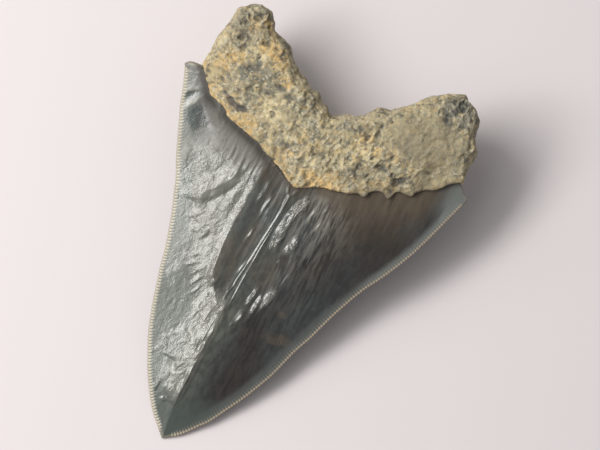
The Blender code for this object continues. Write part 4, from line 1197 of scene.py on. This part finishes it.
# The stone's blotches: paint, share, the field that they keep to, size in mm, cover, softness, seed.
STONE_BLOTCHES = [
    (STONE_GREY, 0.40, None, 9.0, 0.42, 0.10, 11.0),
    (OCHRE, 0.35, None, 6.0, 0.34, 0.08, 12.0),
    (PALE_CREAM, 0.45, None, 3.0, 0.34, 0.06, 13.0),
    (STONE_SLATE, 0.85, "dark_stone", 1.5, 0.60, 0.12, 23.0),
    (PALE_SAND, 0.85, "pale_stone", 1.5, 0.60, 0.12, 24.0),
    (OCHRE, 0.85, "ochre_stone", 1.5, 0.60, 0.12, 25.0),
    (STONE_GREY, 0.70, None, 1.6, 0.40, 0.06, 14.0),
    (STONE_BLACK, 0.60, None, 2.6, 0.24, 0.06, 10.0),
    (OCHRE, 0.50, None, 1.5, 0.30, 0.06, 15.0),
    (PALE_CREAM, 0.75, None, 0.8, 0.30, 0.05, 16.0),
    (STONE_BLACK, 0.75, None, 0.8, 0.28, 0.05, 17.0),
]
BLOTCHES_OVER_EVEN = [
    (STONE_BLACK, 0.85, "knobby", 2.4, 0.54, 0.08, 18.0),
    (OCHRE, 0.80, "lip", 1.6, 0.48, 0.08, 19.0),
]


def blotched(tree, colour, blotches):
    """The colour with the blotches over it, one after another."""
    for paint, share, kept_to, size, cover, softness, seed in blotches:
        mask = placed(tree, BLOTCHES, Size=size, Cover=cover, Softness=softness, Seed=seed)["Mask"]
        if kept_to:
            mask = product(tree, mask, field(tree, kept_to))
        colour = blended(tree, product(tree, mask, share), colour, paint)
    return colour


def root_stone_finish():
    """Rough root stone: beige sand with ochre, cream, grey and black grains, ochre along its lip."""
    made, tree, shader = bare_finish("root_stone", IOR=1.5)
    colour = blotched(tree, BEIGE, STONE_BLOTCHES)
    colour = blended(tree, product(tree, field(tree, "even_stone"), 0.7), colour, EVEN_BROWN)
    colour = blotched(tree, colour, BLOTCHES_OVER_EVEN)
    colour = blended(tree, field(tree, "seam_shade"), colour, SEAM_BROWN)
    colour = blended(tree, product(tree, field(tree, "laminae"), 0.6), colour, LAMINA_DARK)
    # Painted shade in the stone's pits and grooves, and a paler tone on what stands proud: rubbed wear with
    # a painted highlight.
    worn = placed(tree, SHADE_AND_HIGHLIGHT, Colour=colour, Proud=field(tree, "proud"), Dirt=STONE_BLACK, Dirt_share=0.65,
                  Rubbed=PALE_CREAM, Rubbed_share=0.25)
    tree.links.new(worn["Colour"], shader.inputs["Base Color"])
    sand = placed(tree, GRAIN, Size=0.55, Height=0.30, Seed=21.0)
    dust = placed(tree, GRAIN, Size=0.22, Height=0.09, Seed=22.0)
    bumped(tree, shader, math_of(tree, "ADD", sand["Height"], dust["Height"]), 0.9)
    tree.links.new(spread(tree, sand["Mask"], *STONE_ROUGHNESS), shader.inputs["Roughness"])
    return made


# ---------------------------------------------------------------- the two pieces
def rim_band(points, rims):
    """Where the blade's rim is paler, from 0 to 1: a band that widens towards the tip on the left, and a
    narrower one on the right that spreads over the right shoulder."""
    x, y, z = points.T
    left_reach = 6.6 + 7.0 * eased((50 - y) / 12) * (z > 0)
    left = eased((left_reach - rims) / 2.6) * (0.75 + 0.25 * eased((y - 52) / 10)) * eased((96 - y) / 12)
    right_reach = 4.2 - 0.8 * eased((y - 50) / 15)
    right = eased((right_reach - rims) / 2.0) * (0.36 + 0.39 * eased((y - 62) / 10))
    right += eased((y - 90) / 10) * eased((x - 38.0) / 7.0)
    return np.where(beside_keel(points) < 0, left, right)


def blade_fields(points, rims, beads):
    """The values over the blade that its finish reads, each from 0 to 1 unless said: rim is the distance
    from the cutting edge in mm, and crest runs from -1 in the hollows to 1 on the folds."""
    x, y, z = points.T
    labial = (z > 0).astype(float)
    lingual = 1 - labial
    seam = np.abs(beside_line(points, SEAM_LINE)[0])
    folds = fold_height(points)
    right = eased(beside_keel(points) / 9.0) * labial
    plateau = eased((x + 12.0) / 3.0) * eased((y - 44.0) / 6.0) * labial
    flat_top = plateau * (0.35 + 0.65 * eased((1.0 - x) / 3.0)) * eased((16.0 - x) / 8.0)
    striae = eased((x - 3.0) / 4.0) * eased((26.0 - x) / 10.0) * np.exp(-np.maximum(seam - 2.0, 0) / 15.0)
    stain_and_shadow_falloff = np.exp(-seam / (2.1 + 4.6 * eased((x - 6.0) / 14.0)))
    rubbed_highlight = (beside_line(points, line)[0] / RUBBED_HIGHLIGHT_WIDTH for line in RUBBED_HIGHLIGHT_LINES)
    clouds = np.clip(0.35 + layered(flattened(points), LINGUAL_CLOUDS), 0, 1)
    dusty = in_patches(points, DUSTY_ARM)
    return {
        "rim": rims,
        "bead": beads,
        "right_side": np.maximum(right, 0.45 * plateau) + lingual * clouds,
        "plateau": 0.6 * flat_top,
        "striae": striae * labial * eased((seam - 1.5) / 2.0) + 0.22 * lingual * eased((y - 40.0) / 30.0),
        "smears": in_patches(points, BROWN_SMEARS) * labial,
        "teal_shade": 0.85 * in_patches(points, TEAL_SHADE_FACETS) * labial,
        "dusty": 0.8 * dusty * labial,
        "rubbed_highlight": sum(np.exp(-(aside**2)) for aside in rubbed_highlight) * labial,
        "lit_olive": 0.8 * in_patches(points, SHOULDER_TOP) * labial,
        "rim_band": rim_band(points, rims),
        "hammered": np.maximum(hammered_share(points, folds), 0.6 * dusty) * labial,
        "tip": 0.85 * eased((19.0 - y) / 12.0),
        "root_stain_and_shadow": np.minimum(1.8 * stain_and_shadow_falloff, 1) * labial * (1 - 0.8 * eased((x - 36.0) / 8.0)),
        "band": chevron_band(points) * lingual,
        "crest": np.clip((folds - hollow_depth(points)) / 0.5, -1, 1) * labial,
    }


def tooth_pieces():
    """The enamel blade and the root's stone."""
    points, triangles, rims, beads = crown_shape()
    piece("blade", points, triangles, blade_fields(points, rims, beads), "enamel", enamel_finish())
    piece("root", *root_shape(), "root_stone", root_stone_finish())


# ---------------------------------------------------------------- table, light and camera
TABLE_COLOUR = (0.65, 0.61, 0.632, 1)
TABLE_HALF = 2.5
TABLE_DROP = 0.00002  # under the tooth's resting faces
VIEW_MIDDLE = (7.5, 73.7, 0.0)  # in the tooth's frame, mm
VIEW_WIDTH = 0.1765
VIEW_ROLL = (0.8944, 0.4472)  # the view's right, along the tooth's x and y
CAMERA_AWAY = 1.1
CAMERA_RANGE = (0.05, 20.0)
SENSOR = 36.0
# The lights: name, size, radiance and distance. Both stand in one direction, along the tooth's x and y.
LIGHTS_FROM = (-0.655, -0.02)
LIGHTS = [("soft_box", (0.30, 0.80), 13.0, 1.0), ("pale_wall", (1.3, 1.7), 1.2, 1.2)]
DAYLIGHT = (1.0, 0.985, 0.935)
FILL = (0.30, 0.295, 0.29, 1)


def tooth_axes():
    """The tooth's x, y and z directions, in the room."""
    turn = math.radians(LIE_DEG)
    return (Vector((1, 0, 0)), Vector((0, math.cos(turn), math.sin(turn))),
            Vector((0, -math.sin(turn), math.cos(turn))))


def placed_in_room(name, data, right, up, back, place):
    """An object whose own x, y and z run right, up and back."""
    made = bpy.data.objects.new(name, data)
    made.matrix_world = Matrix.Translation(place) @ Matrix((right, up, back)).transposed().to_4x4()
    bpy.context.scene.collection.objects.link(made)
    return made


def lay_the_table():
    """A wide pale table, matt, right under the tooth."""
    mesh = bpy.data.meshes.new("table")
    corners = [(-1, -1), (1, -1), (1, 1), (-1, 1)]
    mesh.from_pydata([(TABLE_HALF * x, TABLE_HALF * y, -TABLE_DROP) for x, y in corners], [], [(0, 1, 2, 3)])
    mesh.materials.append(bare_finish("matt_table", Roughness=0.75, Base_Color=TABLE_COLOUR)[0])
    table = bpy.data.objects.new("table", mesh)
    bpy.context.scene.collection.objects.link(table)


def set_the_camera(middle, across, along_blade, out):
    """The camera, square to the blade."""
    right = VIEW_ROLL[0] * across + VIEW_ROLL[1] * along_blade
    up = VIEW_ROLL[0] * along_blade - VIEW_ROLL[1] * across
    camera = bpy.data.cameras.new("camera")
    camera.sensor_width = SENSOR
    camera.lens = SENSOR * CAMERA_AWAY / VIEW_WIDTH
    camera.clip_start, camera.clip_end = CAMERA_RANGE
    seen = placed_in_room("camera", camera, right, up, out, middle + CAMERA_AWAY * out)
    bpy.context.scene.camera = seen


def light_the_room(middle, across, along_blade, out):
    """A soft box over the left edge with a dim pale wall behind it, and a pale room round them."""
    side, ahead = LIGHTS_FROM
    towards = (side * across + ahead * along_blade + math.sqrt(1 - side**2 - ahead**2) * out).normalized()
    upright = (along_blade - along_blade.dot(towards) * towards).normalized()
    for name, size, radiance, away in LIGHTS:
        light = bpy.data.lights.new(name, "AREA")
        light.shape = "RECTANGLE"
        light.size, light.size_y = size
        light.color = DAYLIGHT
        light.energy = radiance * math.pi * size[0] * size[1]
        placed_in_room(name, light, upright.cross(towards), upright, towards, middle + away * towards)
    room = bpy.data.worlds.new("pale_room")
    room.use_nodes = True
    room.node_tree.nodes["Background"].inputs["Color"].default_value = FILL
    bpy.context.scene.world = room
    bpy.context.scene.view_settings.view_transform = "Standard"


def set_the_room():
    """The table, the camera and the lights."""
    middle = Vector(laid_down(np.array([VIEW_MIDDLE]))[0])
    lay_the_table()
    set_the_camera(middle, *tooth_axes())
    light_the_room(middle, *tooth_axes())


tooth_pieces()
set_the_room()
bpy.context.view_layer.update()
